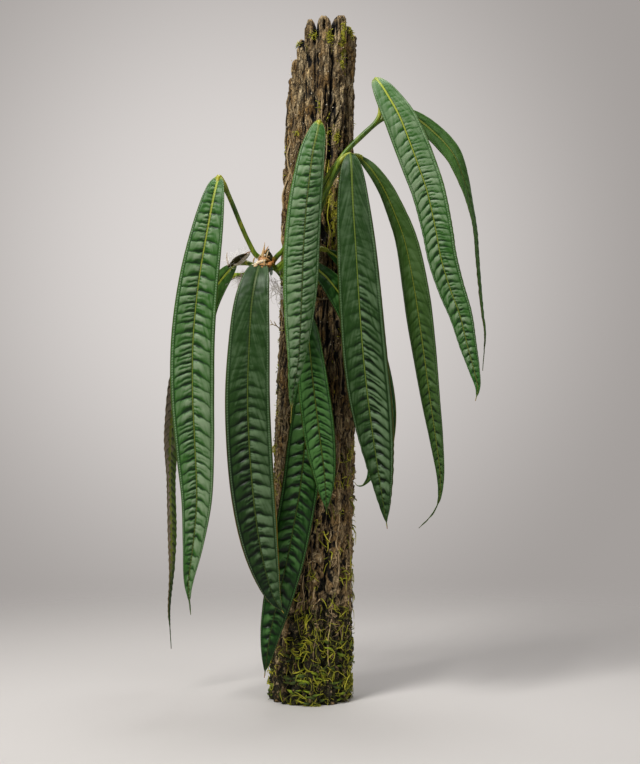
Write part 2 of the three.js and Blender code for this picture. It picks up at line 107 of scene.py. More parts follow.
# A leaf: width; widest is where along the blade it is widest; tip and base are the fullness of its taper;
# fold is how far the halves fold back, in degrees; turn is the compass turn of its face at base, middle and
# tip, or at more places evenly spread along it; rise is how far the face looks up at the base; pucker is
# its strength at base and tip; sweep is how far the side veins run tipwards, per millimetre outwards, in
# the left half near base and tip, then in the right half.
# What holds for a leaf unless its own entry here or in MARKS says otherwise
USUAL = dict(
    rise=20, base=0.5, comb=(0.7, 0.7), half_painted_light=((0, 0), (0, 0)), press=(1, 1), cap=0, foot=-5, tuck=2,
    rim=(0, 0))
LEAVES = {
    "left_front": dict(
        width=59, widest=0.46, tip=1.6, base=0.48, fold=-6, turn=(0, 2, 6), rise=40, pucker=(0.9, 1.0),
        sweep=(0.2, 0.65, 0.05, 1.15), finish="satin",
        petiole=[(-60, -57, 604), (-72, -60, 610), (-82, -61, 627), (-92, -64, 649), (-105, -70, 681),
                 (-115, -76, 703)],
        midrib=[(-121, -83, 714), (-125, -96, 695), (-135, -103, 640), (-147, -104, 567), (-154, -102, 495),
                (-155, -98, 422), (-152, -94, 349), (-150, -92, 282), (-155, -90, 222), (-161, -90, 169),
                (-158, -90, 129)]),
    "left_middle": dict(
        width=40, widest=0.42, tip=1.5, fold=5, turn=(20, -5, -20), pucker=(0.3, 0.9),
        sweep=(0.4, 0.5, 0.4, 0.5), finish="fresh",
        petiole=[(-62, -55, 603), (-74, -50, 598), (-82, -45, 600), (-91, -40, 602)],
        midrib=[(-101, -33, 601), (-115, -22, 588), (-130, -16, 569), (-144, -12, 543), (-155, -10, 503),
                (-162, -10, 448), (-165, -10, 386), (-166, -12, 317), (-166, -14, 248)]),
    "left_back": dict(
        width=46, widest=0.42, tip=1.5, fold=5, turn=(-125, -120, -119, -112, -101, -106, -99, -114),
        pucker=(0.4, 1.0), sweep=(0.4, 0.7, 0.4, 0.7), finish="aged",
        petiole=[(-52, -59, 598), (-63, -44, 589), (-78, -28, 587), (-93, -14, 587), (-107, -2, 586)],
        midrib=[(-119, 5, 580), (-147, 15, 554), (-172, 22, 505), (-188, 26, 442), (-197, 28, 371),
                (-198, 28, 301), (-196, 26, 231), (-196, 25, 174), (-199, 24, 118), (-196, 22, 64)]),
    "centre_left": dict(
        width=60, widest=0.5, tip=2.8, base=0.3, fold=-3, turn=(-4, 2, 20), rise=60, pucker=(0.06, 1.0),
        sweep=(0.3, 0.6, 0.15, 0.5), finish="dark",
        petiole=[(-56, -58, 600), (-61, -70, 601), (-64, -82, 602)],
        midrib=[(-66, -96, 597), (-71, -110, 575), (-76, -118, 540), (-79, -122, 487), (-81, -122, 422),
                (-79, -118, 356), (-74, -113, 290), (-66, -108, 228), (-57, -105, 186), (-47, -102, 154),
                (-34, -100, 133)]),
    "centre_front": dict(
        width=52, widest=0.48, tip=1.8, base=0.45, fold=14, turn=(16, 22, 56), rise=40, pucker=(0.4, 1.0),
        sweep=(0.1, 0.4, -0.7, -0.4), finish="satin",
        petiole=[(-52, -59, 598), (-44, -68, 608), (-34, -75, 618), (-26, -81, 645), (-16, -86, 680),
                 (-3, -92, 720), (7, -96, 753), (12, -98, 775)],
        midrib=[(13, -104, 785), (11, -112, 771), (5, -118, 743), (0, -123, 703), (-3, -125, 677),
                (-7, -126, 624), (-9, -126, 572), (-11, -124, 520), (-14, -121, 468), (-21, -118, 424),
                (-24, -117, 385)]),
    "right_front": dict(
        width=64, widest=0.62, tip=2.1, base=0.4, fold=14, turn=(-4, -18, -48), rise=40, pucker=(0.08, 1.1),
        sweep=(0.1, 0.6, 0.8, 1.2), finish="dark",
        petiole=[(-35, -62, 577), (-27, -73, 581), (-18, -80, 597), (-8, -85, 624), (4, -89, 656),
                 (15, -91, 681), (30, -94, 711), (43, -97, 734)],
        midrib=[(54, -100, 742), (55, -108, 729), (57, -112, 678), (61, -113, 613), (65, -113, 547),
                (70, -112, 481), (77, -110, 415), (86, -108, 349), (94, -107, 297), (102, -106, 245)]),
    "right_side": dict(
        width=39, widest=0.42, tip=1.3, fold=18, turn=(-50, -14, -16), pucker=(0.1, 0.75),
        sweep=(0.6, 0.8, 0.8, 1), finish="muted",
        petiole=[(-37, -62, 580), (-26, -63, 588), (-14, -66, 604), (0, -68, 632), (17, -69, 677),
                 (27, -70, 704), (41, -70, 728), (54, -72, 740)],
        midrib=[(65, -74, 742), (81, -77, 725), (98, -76, 699), (114, -74, 664), (127, -72, 629),
                (140, -70, 567), (151, -68, 495), (162, -66, 415), (170, -65, 361), (176, -64, 307),
                (174, -64, 280), (166, -64, 262), (147, -64, 242)]),
    "upper_right": dict(
        width=48, widest=0.3, tip=2.2, base=0.38, fold=12, turn=(0, -30, -26), rise=38, pucker=(0.2, 1.05),
        sweep=(0.45, 0.85, 0.15, 0.5), finish="satin",
        petiole=[(-42, -61, 587), (-35, -73, 593), (-26, -79, 606), (-12, -84, 638), (4, -88, 672),
                 (17, -89, 701), (47, -90, 744), (71, -93, 768), (88, -94, 784), (94, -94, 797),
                 (92, -94, 817)],
        midrib=[(87, -106, 841), (94.5, -114, 830), (103, -119.5, 815), (117, -126, 788), (132, -127, 750),
                (142, -127, 722), (153, -126, 690), (165, -124, 638), (172, -122, 601), (184, -119, 562),
                (197, -117, 527), (207, -115, 488), (216, -113, 455), (221, -113, 431), (218, -112, 414)]),
    "far_right": dict(
        width=30, widest=0.3, tip=1.5, fold=4, turn=(0, 73, 70), rise=10, pucker=(0.1, 0.6),
        sweep=(0.8, 0.8, 0.8, 0.8), finish="fresh",
        petiole=[(-46, -61, 592), (-35, -64, 601), (-24, -69, 612), (-8, -75, 640), (5, -78, 668),
                 (18, -79, 700), (47, -82, 744), (71, -83, 768), (91, -83, 786), (105, -84, 794)],
        midrib=[(119, -83, 799), (134, -80, 797), (151, -76, 787), (166, -73, 775), (183, -70, 759),
                (196, -68, 742), (211, -64, 704), (218, -62, 678), (224, -60, 650), (229, -58, 590),
                (234, -56, 536), (238, -55, 503), (235, -55, 454)]),
    "lower_middle": dict(
        width=43, widest=0.55, tip=2, fold=8, turn=(0, 0, 5), rise=30, pucker=(0.2, 1.0),
        sweep=(0.3, 0.8, 0.5, 1), finish="deep",
        petiole=[(-24, -60, 556), (-22, -73, 561), (-18, -82, 564), (-12, -88, 556)],
        midrib=[(-7, -90, 540), (-3, -93, 515), (1, -96, 475), (5, -97, 435), (10, -96, 395),
                (15, -94, 355), (20, -92, 315), (23, -90, 263)]),
    "lower_back": dict(
        width=50, widest=0.52, tip=2.4, fold=8, turn=(0, 5, -5), pucker=(0.3, 1.0),
        sweep=(0.3, 0.6, 0.4, 0.9), finish="deep",
        petiole=[(-20, -57, 542), (-13, -66, 552), (-6, -71, 546)],
        midrib=[(-2, -71, 533), (2, -72, 502), (2, -74, 455), (-2, -76, 401), (-7, -77, 348),
                (-13, -78, 294), (-21, -79, 248), (-30, -80, 201), (-41, -80, 154), (-53, -78, 100),
                (-61, -74, 42)]),
    "behind_upper": dict(
        width=32, widest=0.5, tip=1.7, fold=6, turn=(0, 10, 20), pucker=(0.1, 0.6),
        sweep=(0.4, 0.5, 0.4, 0.5), finish="deep",
        petiole=[(-30, -61, 567), (-19, -57, 575), (-12, -57, 594), (-3, -58, 612), (12, -59, 619)],
        midrib=[(22, -60, 618), (38, -60, 607), (53, -58, 590), (67, -52, 557), (78, -44, 510),
                (85, -36, 455), (89, -30, 401), (91, -26, 353)]),
    "behind_middle": dict(
        width=41, widest=0.5, tip=2, fold=6, turn=(0, 0, 5), pucker=(0.1, 0.8), sweep=(0.4, 0.5, 0.4, 0.5),
        finish="deep",
        petiole=[(-29, -62, 566), (-27, -75, 568), (-22, -84, 578), (-14, -91, 592), (-8, -93, 600)],
        midrib=[(-2, -93, 602), (12, -92, 588), (22, -91, 579), (36, -90, 562), (56, -89, 532),
                (77, -88, 488), (91, -86, 440), (100, -85, 395), (103, -84, 350), (105, -84, 312)]),
    "behind_lower": dict(
        width=30, widest=0.48, tip=1.6, fold=6, turn=(0, 0, 0), pucker=(0.2, 0.8),
        sweep=(0.4, 0.5, 0.4, 0.5), finish="deep",
        petiole=[(-26, -60, 560), (-14, -60, 563), (0, -64, 572), (16, -69, 574)],
        midrib=[(25, -70, 569), (38, -71, 554), (52, -71, 525), (61, -70, 482), (69, -69, 435),
                (78, -67, 388), (84, -65, 347), (84, -63, 322), (79, -61, 307), (71, -60, 299),
                (64, -59, 299), (61, -58, 303)]),
}

# A leaf's marks, with the left and right half's value where there are two: pitch is from one main side vein
# to the next; comb is how plain the shorter creases between them are; plain is the share at its base that
# stays flat; tone is the painted light and shade on a half, near the base and near the tip; press is how
# deeply it is puckered and how strong its painted light and shade are; gold is how yellow the midrib is at
# base, middle and tip; cap is how yellow the base is, and joint how yellow the petiole's end; foot is how
# many millimetres of the petiole's start are tan; tuck is how far under the blade the petiole ends; tail is
# how long the thin end of the tip is; dry is how withered the tip is, and over how many millimetres; rim is
# how yellow the margin is near the tip; row is the pitch of the rows of points along it
MARKS = {
    "left_front": dict(
        pitch=(14, 17), comb=(0.95, 0.5), plain=(-0.3, -0.3), half_painted_light=((-0.12, -0.19), (-0.1, 0.11)),
        press=(1.15, 0.8), gold=(0.8, 0.4, 0.12), cap=1, joint=0.95, foot=7, tuck=1.2, tail=19,
        dry=(0.1, 14), row=1.5),
    "left_middle": dict(
        pitch=(12, 12), plain=(0, 0), half_painted_light=((0.15, 0.1), (0.1, 0.1)), press=(0.5, 0.5),
        gold=(0.9, 0.6, 0.3), cap=0.4, joint=0.7, foot=8, tuck=1.5, tail=10, dry=(0.3, 8), row=2.2),
    "left_back": dict(
        pitch=(11, 11), plain=(-0.2, -0.2), press=(0.8, 0.8), gold=(0.3, 0.3, 0.2), joint=0, foot=4,
        tuck=1.5, tail=30, dry=(0, 22), rim=(0.2, 0.2), row=1.8),
    "centre_left": dict(
        pitch=(14.5, 16), comb=(0.8, 0.35), plain=(0.2, 0.2), half_painted_light=((0.02, -0.44), (0.04, 0)),
        press=(1.15, 0.9), gold=(0.22, 0.4, 0.1), joint=0, foot=60, tuck=4, tail=5, dry=(0.7, 7),
        rim=(0.2, 0.85), row=1.5),
    "centre_front": dict(
        pitch=(13.5, 11.5), comb=(0.9, 0.8), plain=(-0.05, -0.05), half_painted_light=((0.04, 0.05), (-0.02, 0.02)),
        press=(0.9, 0.85), gold=(0.3, 0.14, 0.05), cap=1, joint=0.9, foot=9, tuck=1.6, tail=18,
        dry=(0.62, 38), row=1.5),
    "right_front": dict(
        pitch=(16, 15), comb=(0.4, 0.8), plain=(0.3, 0.2), half_painted_light=((0.06, -0.08), (0.06, -0.12)),
        press=(0.6, 1.15), gold=(0.5, 0.7, 0.25), joint=0.5, tuck=4.2, tail=9, dry=(1, 10), row=1.5),
    "right_side": dict(
        pitch=(14, 14), plain=(0.25, 0.25), half_painted_light=((0.06, -0.12), (0.1, -0.1)), press=(0.8, 0.8),
        gold=(0.4, 0.45, 0.2), cap=0.2, joint=0.4, tail=40, dry=(0, 8), row=2),
    "upper_right": dict(
        pitch=(12.5, 9.5), comb=(0.6, 1), plain=(0.02, 0.02), half_painted_light=((0.12, -0.1), (0.12, -0.15)),
        press=(1.05, 0.8), gold=(1, 0.55, 0.2), cap=0.6, joint=0.9, tuck=6, tail=6, dry=(0.8, 8), row=1.5),
    "far_right": dict(
        pitch=(14, 14), plain=(0.2, 0.2), half_painted_light=((0.2, 0.1), (0.16, 0.05)), press=(0.6, 0.6),
        gold=(0.6, 0.4, 0.2), cap=0.3, joint=0.6, tuck=1.5, tail=25, dry=(0, 8), rim=(0.6, 0.6), row=2),
    "lower_middle": dict(
        pitch=(12, 11), plain=(0.16, 0.16), half_painted_light=((0.1, 0.12), (0.06, 0.06)), press=(1.1, 1.2),
        gold=(0.4, 0.3, 0.1), joint=0.3, tail=8, dry=(0.3, 8), row=1.8),
    "lower_back": dict(
        pitch=(16, 15), comb=(0.5, 0.5), plain=(-0.1, -0.1), half_painted_light=((0.06, -0.28), (0.06, -0.28)),
        press=(1.35, 1.2), gold=(0.4, 0.15, 0.1), joint=0.3, tail=9, dry=(1, 12), row=1.6),
    "behind_upper": dict(
        pitch=(14, 14), plain=(0, 0), gold=(0.8, 0.5, 0.2), cap=0.3, joint=0.5, tail=12, dry=(0.4, 8),
        row=2.6),
    "behind_middle": dict(
        pitch=(14, 14), plain=(0, 0), gold=(0.8, 0.5, 0.2), cap=0.3, joint=0.5, tail=12, dry=(1, 14),
        rim=(0.5, 0.9), row=2.2),
    "behind_lower": dict(
        pitch=(14, 14), plain=(0, 0), gold=(0.6, 0.4, 0.2), joint=0.3, tail=12, dry=(0.3, 8), row=2.6),
}


# Working with numbers
def smooth(x):
    x = np.clip(x, 0, 1)
    return x * x * (3 - 2 * x)


def smooth_step(x):
    """As smooth, for one plain number"""
    x = min(1.0, max(0.0, x))
    return x * x * (3 - 2 * x)


def lerp(a, b, share):
    return a + (b - a) * share


def unit(vectors):
    return vectors / np.linalg.norm(vectors, axis=-1, keepdims=True)


def along_values(values, t):
    """Runs smoothly from one to the next of the values, which are spread evenly along 0 to 1"""
    values = np.array(values, float)
    place = np.clip(t, 0, 1) * (len(values) - 1)
    i = np.minimum(place.astype(int), len(values) - 2)
    return lerp(values[i], values[i + 1], smooth(place - i))


def route(points, samples):
    """Evenly spaced places on the smooth curve through the points, and the curve's length"""
    p = np.array(points, float)
    p = np.vstack([2 * p[0] - p[1], p, 2 * p[-1] - p[-2]])
    u = np.linspace(0, 1, 40, endpoint=False)[:, None]
    pieces = []
    for a, b, c, d in zip(p, p[1:], p[2:], p[3:]):
        before, own, after = (np.linalg.norm(step) ** 0.5 for step in (b - a, c - b, d - c))
        leave = ((b - a) / before - (c - a) / (before + own) + (c - b) / own) * own
        arrive = ((c - b) / own - (d - b) / (own + after) + (d - c) / after) * own
        pieces.append(b + leave * u + (-3 * b + 3 * c - 2 * leave - arrive) * u**2
                      + (2 * b - 2 * c + leave + arrive) * u**3)
    pieces.append(p[-2:-1])
    dense = np.vstack(pieces)
    reach = np.concatenate([[0], np.cumsum(np.linalg.norm(np.diff(dense, axis=0), axis=1))])
    even = np.linspace(0, reach[-1], samples)
    return np.column_stack([np.interp(even, reach, dense[:, k]) for k in range(3)]), reach[-1]


# Meshes and pieces
def coordinates(mesh):
    flat = np.empty(3 * len(mesh.vertices))
    mesh.vertices.foreach_get("co", flat)
    return flat.reshape(-1, 3)


def set_coordinates(mesh, places):
    mesh.vertices.foreach_set("co", np.asarray(places, float).ravel())
    mesh.update()


def set_attribute(mesh, name, values):
    attribute = mesh.attributes.get(name) or mesh.attributes.new(name, "FLOAT", "POINT")
    attribute.data.foreach_set("value", np.asarray(values, np.float32).ravel())


def to_mesh(bm, name):
    mesh = bpy.data.meshes.new(name)
    bm.to_mesh(mesh)
    bm.free()
    return mesh


def put_in_order(bm):
    """Sorts a welded mesh by place, because welding leaves it in another order each run"""
    for i, vert in enumerate(sorted(bm.verts, key=lambda vert: tuple(vert.co))):
        vert.index = i
    for sequence in (bm.edges, bm.faces):
        ranked = sorted(sequence, key=lambda element: sorted(vert.index for vert in element.verts))
        for i, element in enumerate(ranked):
            element.index = i
    for sequence in (bm.verts, bm.edges, bm.faces):
        sequence.sort(key=lambda element: element.index)


def link(name, data):
    piece = bpy.data.objects.new(name, data)
    bpy.context.scene.collection.objects.link(piece)
    return piece


def finished_mesh(piece):
    """The piece's mesh with its modifiers or bevel applied; the working object is removed"""
    bpy.context.view_layer.update()
    mesh = bpy.data.meshes.new_from_object(piece.evaluated_get(bpy.context.evaluated_depsgraph_get()))
    bpy.data.objects.remove(piece)
    return mesh


def shade_smooth(mesh):
    mesh.polygons.foreach_set("use_smooth", [True] * len(mesh.polygons))


def tubes(name, paths, radii, sides_setting=0):
    """A mesh of closed round threads, one along each path; radii has one value for each point"""
    curve = bpy.data.curves.new(name, "CURVE")
    curve.dimensions = "3D"
    curve.bevel_depth = MM
    curve.bevel_resolution = sides_setting
    for path, radius in zip(paths, radii):
        spline = curve.splines.new("POLY")
        spline.points.add(len(path) - 1)
        spline.points.foreach_set("co", np.column_stack([path * MM, np.ones(len(path))]).ravel())
        spline.points.foreach_set("radius", np.broadcast_to(radius, len(path)).astype(float))
    bm = bmesh.new()
    bm.from_mesh(finished_mesh(link(name + "_route", curve)))
    bmesh.ops.holes_fill(bm, edges=[edge for edge in bm.edges if edge.is_boundary], sides=0)
    mesh = to_mesh(bm, name)
    shade_smooth(mesh)
    return mesh


def thickened(name, mesh, thickness, own_underside=False):
    """Gives a sheet its thickness; the underside may take a material of its own, the second one"""
    piece = link(name + "_sheet", mesh)
    wall = piece.modifiers.new("thickness", "SOLIDIFY")
    wall.thickness = thickness * MM
    wall.offset = -1
    if own_underside:
        for _ in range(2):
            mesh.materials.append(None)
        wall.material_offset = 1
        wall.material_offset_rim = 0
    solid = finished_mesh(piece)
    shade_smooth(solid)
    return solid


def ribbons(name, strips, rows, thickness):
    """A mesh of thin strips: [points, widths along it, the way it faces, how far cupped, tint] each"""
    bm = bmesh.new()
    for _ in strips:
        bmesh.ops.create_grid(bm, x_segments=2, y_segments=rows, size=1)
    mesh = to_mesh(bm, name)
    grid = coordinates(mesh).reshape(len(strips), -1, 3)
    row = np.round((1 - grid[0, :, 1]) / 2 * rows).astype(int)
    s = grid[0, :, 0].copy()
    for i, (points, widths, facing, cup, _) in enumerate(strips):
        line, _ = route(points, rows + 1)
        tangent = unit(np.gradient(line, axis=0))
        facing = np.array(facing, float)
        face = unit(facing - tangent * (tangent @ facing)[:, None])
        half = np.interp(np.linspace(0, 1, rows + 1), np.linspace(0, 1, len(widths)), widths)[:, None] / 2
        across = np.cross(face, tangent) * half
        grid[i] = line[row] + across[row] * s[:, None] - (face * half)[row] * (cup * s**2)[:, None]
    set_coordinates(mesh, grid.reshape(-1, 3) * MM)
    set_attribute(mesh, "tint", np.repeat([strip[4] for strip in strips], len(s)))
    set_attribute(mesh, "along", np.tile(row / rows, len(strips)))
    set_attribute(mesh, "edge", np.tile(np.abs(s), len(strips)))
    return thickened(name, mesh, thickness)


def balls(name, places):
    """A mesh of small round things: [place, radii, tint] each"""
    meshes = []
    for place, radii, tint in places:
        bm = bmesh.new()
        bmesh.ops.create_uvsphere(bm, u_segments=10, v_segments=7, radius=1)
        put_in_order(bm)
        bmesh.ops.scale(bm, vec=Vector(radii) * MM, verts=bm.verts)
        bmesh.ops.translate(bm, vec=Vector(place) * MM, verts=bm.verts)
        meshes.append(to_mesh(bm, name))
        set_attribute(meshes[-1], "tint", np.full(len(meshes[-1].vertices), tint))
    mesh = joined(name, meshes)
    shade_smooth(mesh)
    return mesh


def spread_tint(mesh, count, seed):
    """Gives each of a mesh's equal threads its own random tint"""
    each = len(mesh.vertices) // count
    values = np.random.default_rng(seed).random(count)
    set_attribute(mesh, "tint", np.repeat(values, each))


def joined(name, meshes):
    bm = bmesh.new()
    for mesh in meshes:
        bm.from_mesh(mesh)
    return to_mesh(bm, name)


def add_piece(name, mesh, finishes, nodes=()):
    """A finished piece: its materials, its body and the solids that it stands for"""
    piece = link(name, mesh)
    for finish in finishes:
        mesh.materials.append(finish)
    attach(piece, "root")
    if nodes:
        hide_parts(*nodes)


# Materials
def paint(code):
    """Linear colour from a hex code as seen on a screen"""
    shares = [int(code[i:i + 2], 16) / 255 for i in (1, 3, 5)]
    return (*[s / 12.92 if s <= 0.04045 else ((s + 0.055) / 1.055) ** 2.4 for s in shares], 1)


class Finish:
    """A material in the making, with a short call for each kind of node"""

    def __init__(self, name, roughness):
        self.material = bpy.data.materials.new(name)
        self.material.use_nodes = True
        self.nodes = self.material.node_tree.nodes
        self.links = self.material.node_tree.links
        self.nodes.clear()
        self.shader = self.nodes.new("ShaderNodeBsdfPrincipled")
        self.shader.inputs["Roughness"].default_value = roughness
        self.output = self.nodes.new("ShaderNodeOutputMaterial")
        self.links.new(self.shader.outputs[0], self.output.inputs["Surface"])
        self.place = self.nodes.new("ShaderNodeTexCoord").outputs["Object"]

    def put(self, value, socket):
        if isinstance(value, bpy.types.NodeSocket):
            self.links.new(value, socket)
        else:
            socket.default_value = value

    def own(self, name):
        node = self.nodes.new("ShaderNodeAttribute")
        node.attribute_name = name
        return node.outputs["Fac"]

    def part_of(self, vector, axis):
        node = self.nodes.new("ShaderNodeSeparateXYZ")
        self.put(vector, node.inputs[0])
        return node.outputs[axis]

    def maths(self, operation, a, b=0.0, c=0.0):
        node = self.nodes.new("ShaderNodeMath")
        node.operation = operation
        for value, socket in zip((a, b, c), node.inputs):
            self.put(value, socket)
        return node.outputs[0]

    def plus(self, a, b):
        return self.maths("ADD", a, b)

    def minus(self, a, b):
        return self.maths("SUBTRACT", a, b)

    def times(self, a, b):
        return self.maths("MULTIPLY", a, b)

    def between(self, value, low, high, to_low=0.0, to_high=1.0):
        """Runs smoothly from to_low to to_high while the value runs from low to high"""
        node = self.nodes.new("ShaderNodeMapRange")
        node.interpolation_type = "SMOOTHSTEP"
        for value, socket in zip((value, low, high, to_low, to_high), node.inputs):
            self.put(value, socket)
        return node.outputs[0]

    def stretched(self, scale):
        node = self.nodes.new("ShaderNodeMapping")
        self.put(self.place, node.inputs["Vector"])
        node.inputs["Scale"].default_value = scale
        return node.outputs[0]

    def joined_up(self, x, y, z):
        node = self.nodes.new("ShaderNodeCombineXYZ")
        for value, socket in zip((x, y, z), node.inputs):
            self.put(value, socket)
        return node.outputs[0]

    def grain(self, scale, detail=4.0, vector=None, roughness=0.55):
        node = self.nodes.new("ShaderNodeTexNoise")
        self.put(vector or self.place, node.inputs["Vector"])
        node.inputs["Scale"].default_value = scale
        node.inputs["Detail"].default_value = detail
        node.inputs["Roughness"].default_value = roughness
        return node.outputs["Fac"]

    def warped(self, vector, scale, amount):
        """The vector pushed about by noise"""
        push = self.nodes.new("ShaderNodeTexNoise")
        self.put(self.place, push.inputs["Vector"])
        push.inputs["Scale"].default_value = scale
        node = self.nodes.new("ShaderNodeVectorMath")
        node.operation = "MULTIPLY_ADD"
        self.put(push.outputs["Color"], node.inputs[0])
        node.inputs[1].default_value = (amount, amount, amount)
        self.put(vector, node.inputs[2])
        return node.outputs[0]

    def plates(self, scale, vector, feature):
        """Irregular cells: their own colours, or the distance to the cracks between them"""
        node = self.nodes.new("ShaderNodeTexVoronoi")
        node.feature = feature
        self.put(vector, node.inputs["Vector"])
        node.inputs["Scale"].default_value = scale
        return node.outputs["Color" if feature == "F1" else "Distance"]

    def mix(self, share, a, b):
        node = self.nodes.new("ShaderNodeMix")
        node.data_type = "RGBA"
        self.put(share, node.inputs["Factor"])
        self.put(a, node.inputs[6])
        self.put(b, node.inputs[7])
        return node.outputs[2]

    def ramp(self, value, stops):
        node = self.nodes.new("ShaderNodeValToRGB")
        self.put(value, node.inputs[0])
        marks = node.color_ramp.elements
        while len(marks) < len(stops):
            marks.new(0.5)
        for mark, (place, colour) in zip(marks, stops):
            mark.position = place
            mark.color = paint(colour)
        return node.outputs[0]

    def relief(self, height, strength, distance):
        node = self.nodes.new("ShaderNodeBump")
        node.inputs["Strength"].default_value = strength
        node.inputs["Distance"].default_value = distance
        self.put(height, node.inputs["Height"])
        self.links.new(node.outputs[0], self.shader.inputs["Normal"])

    def colour(self, value):
        self.put(value, self.shader.inputs["Base Color"])


# A leaf's upper face: [its green darkened by painted shade in the hollows, its green in between, lightened
# by painted light on the pillows' tops, midrib, roughness, sheen, how much it reflects]
LEAF_FINISHES = {
    "satin": ("#0c3a04", "#356720", "#879f79", "#a9b53a", 0.47, 0.06, 0.36),
    "dark": ("#051b02", "#254219", "#657e5a", "#7f9438", 0.43, 0.0, 0.21),
    "deep": ("#041802", "#163f0a", "#4f7a3e", "#8d9c34", 0.36, 0.0, 0.22),
    "fresh": ("#0d3004", "#2c5714", "#5f8840", "#9ba636", 0.4, 0.04, 0.36),
    "muted": ("#0c2405", "#38571f", "#64804f", "#9ba636", 0.42, 0.03, 0.3),
    "aged": ("#1a1d0c", "#463f30", "#5f6a40", "#7a6f40", 0.55, 0.15, 0.36),
}
# Painted shade for the creases of the veins, the stitched vein and the gutters beside the midrib
CREASE_PAINTED_SHADE = "#041a02"


def leaf_finish(kind):
    hollow_shade, middle, pillow_top_light, midrib, roughness, sheen, shine = LEAF_FINISHES[kind]
    finish = Finish("leaf_" + kind, roughness)
    across, along, run, lift = (finish.own(name) for name in ("across", "along", "run", "lift"))
    rib = finish.own("rib")
    blotch = finish.times(finish.minus(finish.grain(60, 4), 0.5), 0.5)
    # Soft streaks that slant from the midrib to the tip
    slant = finish.minus(finish.times(rib, 0.5), finish.times(run, 0.17))
    streak = finish.grain(0.6, 4, finish.joined_up(slant, finish.times(run, 0.035), across))
    blotch = finish.plus(blotch, finish.times(finish.minus(streak, 0.5), 0.55))
    # Painted shade in the hollows and painted light on the pillows' tops, carried by the lift attribute
    painted_shading = finish.times(finish.plus(lift, blotch), 0.8)
    leaf = finish.ramp(painted_shading, [(0.1, hollow_shade), (0.45, middle), (0.82, pillow_top_light)])
    # The main side veins as thin dark lines of painted shade in their creases
    outwards = finish.maths("ABSOLUTE", across)
    part = finish.maths("FRACT", finish.own("phase"))
    from_vein = finish.maths("MINIMUM", part, finish.minus(1.0, part))
    inside = finish.between(outwards, COLLECTING_VEIN, COLLECTING_VEIN - 0.04)
    line = finish.times(finish.between(from_vein, 0.09, 0.02), inside)
    line = finish.times(line, finish.between(finish.own("puckered"), 0.1, 0.8, 0.12, 0.58))
    leaf = finish.mix(line, leaf, paint(CREASE_PAINTED_SHADE))
    # The stitched vein along the margin with dashes of painted shade in its groove, the strip outside it
    # with a dashed painted highlight, and the rim
    dash = finish.maths("SINE", finish.times(run, 2 * math.pi / STITCH_PITCH))
    on_vein = finish.times(finish.between(outwards, COLLECTING_VEIN - 0.035, COLLECTING_VEIN - 0.005),
                           finish.between(outwards, COLLECTING_VEIN + 0.03, COLLECTING_VEIN + 0.005))
    stitch_shade = finish.times(on_vein, finish.between(dash, -0.5, 0.6, 0.05, 0.8))
    leaf = finish.mix(stitch_shade, leaf, paint(CREASE_PAINTED_SHADE))
    # A dashed painted highlight along the crest of the raised strip outside the vein
    from_strip = finish.maths("ABSOLUTE", finish.minus(outwards, 0.9))
    beads = finish.times(finish.between(from_strip, 0.05, 0.015), finish.between(dash, -0.3, 0.6, 0.2, 0.8))
    leaf = finish.mix(beads, leaf, paint(pillow_top_light))
    rim = finish.times(finish.between(outwards, 0.95, 0.985), finish.own("rim"))
    leaf = finish.mix(rim, leaf, paint("#a98a2e"))
    # The midrib narrows from the base on, with a broken line of painted shade in the gutter at each side
    breadth = finish.between(along, 0.0, 0.3, 1.7, 0.75)
    from_rib = finish.maths("DIVIDE", rib, breadth)
    beside = finish.times(finish.between(from_rib, 2.1, 1.1), finish.between(along, 0.0, 0.1, 0.1, 0.8))
    notch = finish.maths("SINE", finish.times(run, 2 * math.pi / NOTCH_PITCH))
    beside = finish.times(beside, finish.between(notch, -0.7, 0.6, 0.35, 1))
    leaf = finish.mix(beside, leaf, paint(CREASE_PAINTED_SHADE))
    on_rib = finish.times(finish.between(from_rib, 1.05, 0.6), finish.own("gold"))
    leaf = finish.mix(on_rib, leaf, paint(midrib))
    leaf = finish.mix(finish.own("cap"), leaf, paint("#93a02c"))
    dry = finish.own("dry")
    end = finish.mix(finish.between(dry, 0.5, 1), paint("#a99a3c"), paint("#9a5a26"))
    finish.colour(finish.mix(finish.between(dry, 0.05, 0.4), leaf, end))
    finish.relief(finish.grain(900, 3), 0.2, 0.0004)
    finish.shader.inputs["Sheen Weight"].default_value = sheen
    finish.shader.inputs["Sheen Roughness"].default_value = 0.45
    finish.shader.inputs["Sheen Tint"].default_value = paint("#dfe8df")
    finish.shader.inputs["Specular IOR Level"].default_value = shine
    return finish.material


def underside_finish(name, left, right, crease_shade, midrib, midrib_width, tail):
    finish = Finish(name, 0.55)
    blotch = finish.times(finish.minus(finish.grain(90, 4), 0.5), 2.4)
    half = finish.between(finish.plus(finish.own("across"), blotch), -0.5, 0.5)
    body = finish.mix(half, paint(left), paint(right))
    part = finish.maths("FRACT", finish.own("phase"))
    # Painted shade along the creases of the side veins, as strong as the fourth argument
    body = finish.mix(finish.between(part, 0.5, 0.1, 0, crease_shade), body, paint("#1c240c"))
    on_rib = finish.between(finish.own("rib"), midrib_width, midrib_width * 0.6)
    body = finish.mix(on_rib, body, paint(midrib))
    finish.colour(finish.mix(finish.between(finish.own("along"), 0.72, 0.86), body, paint(tail)))
    finish.relief(finish.grain(700, 3), 0.3, 0.0004)
    return finish.material


def petiole_finish():
    finish = Finish("petiole_green", 0.42)
    streak = finish.grain(120, 3, finish.stretched((1, 1, 0.2)))
    body = finish.ramp(streak, [(0.34, "#33540a"), (0.52, "#5f7e16"), (0.7, "#b0b232")])
    body = finish.mix(finish.own("joint"), body, paint("#a29f1e"))
    dried = finish.ramp(finish.grain(380, 4), [(0.34, "#7a4a20"), (0.66, "#c98a4c")])
    finish.colour(finish.mix(finish.own("foot"), body, dried))
    finish.relief(finish.grain(500, 3), 0.25, 0.0005)
    return finish.material


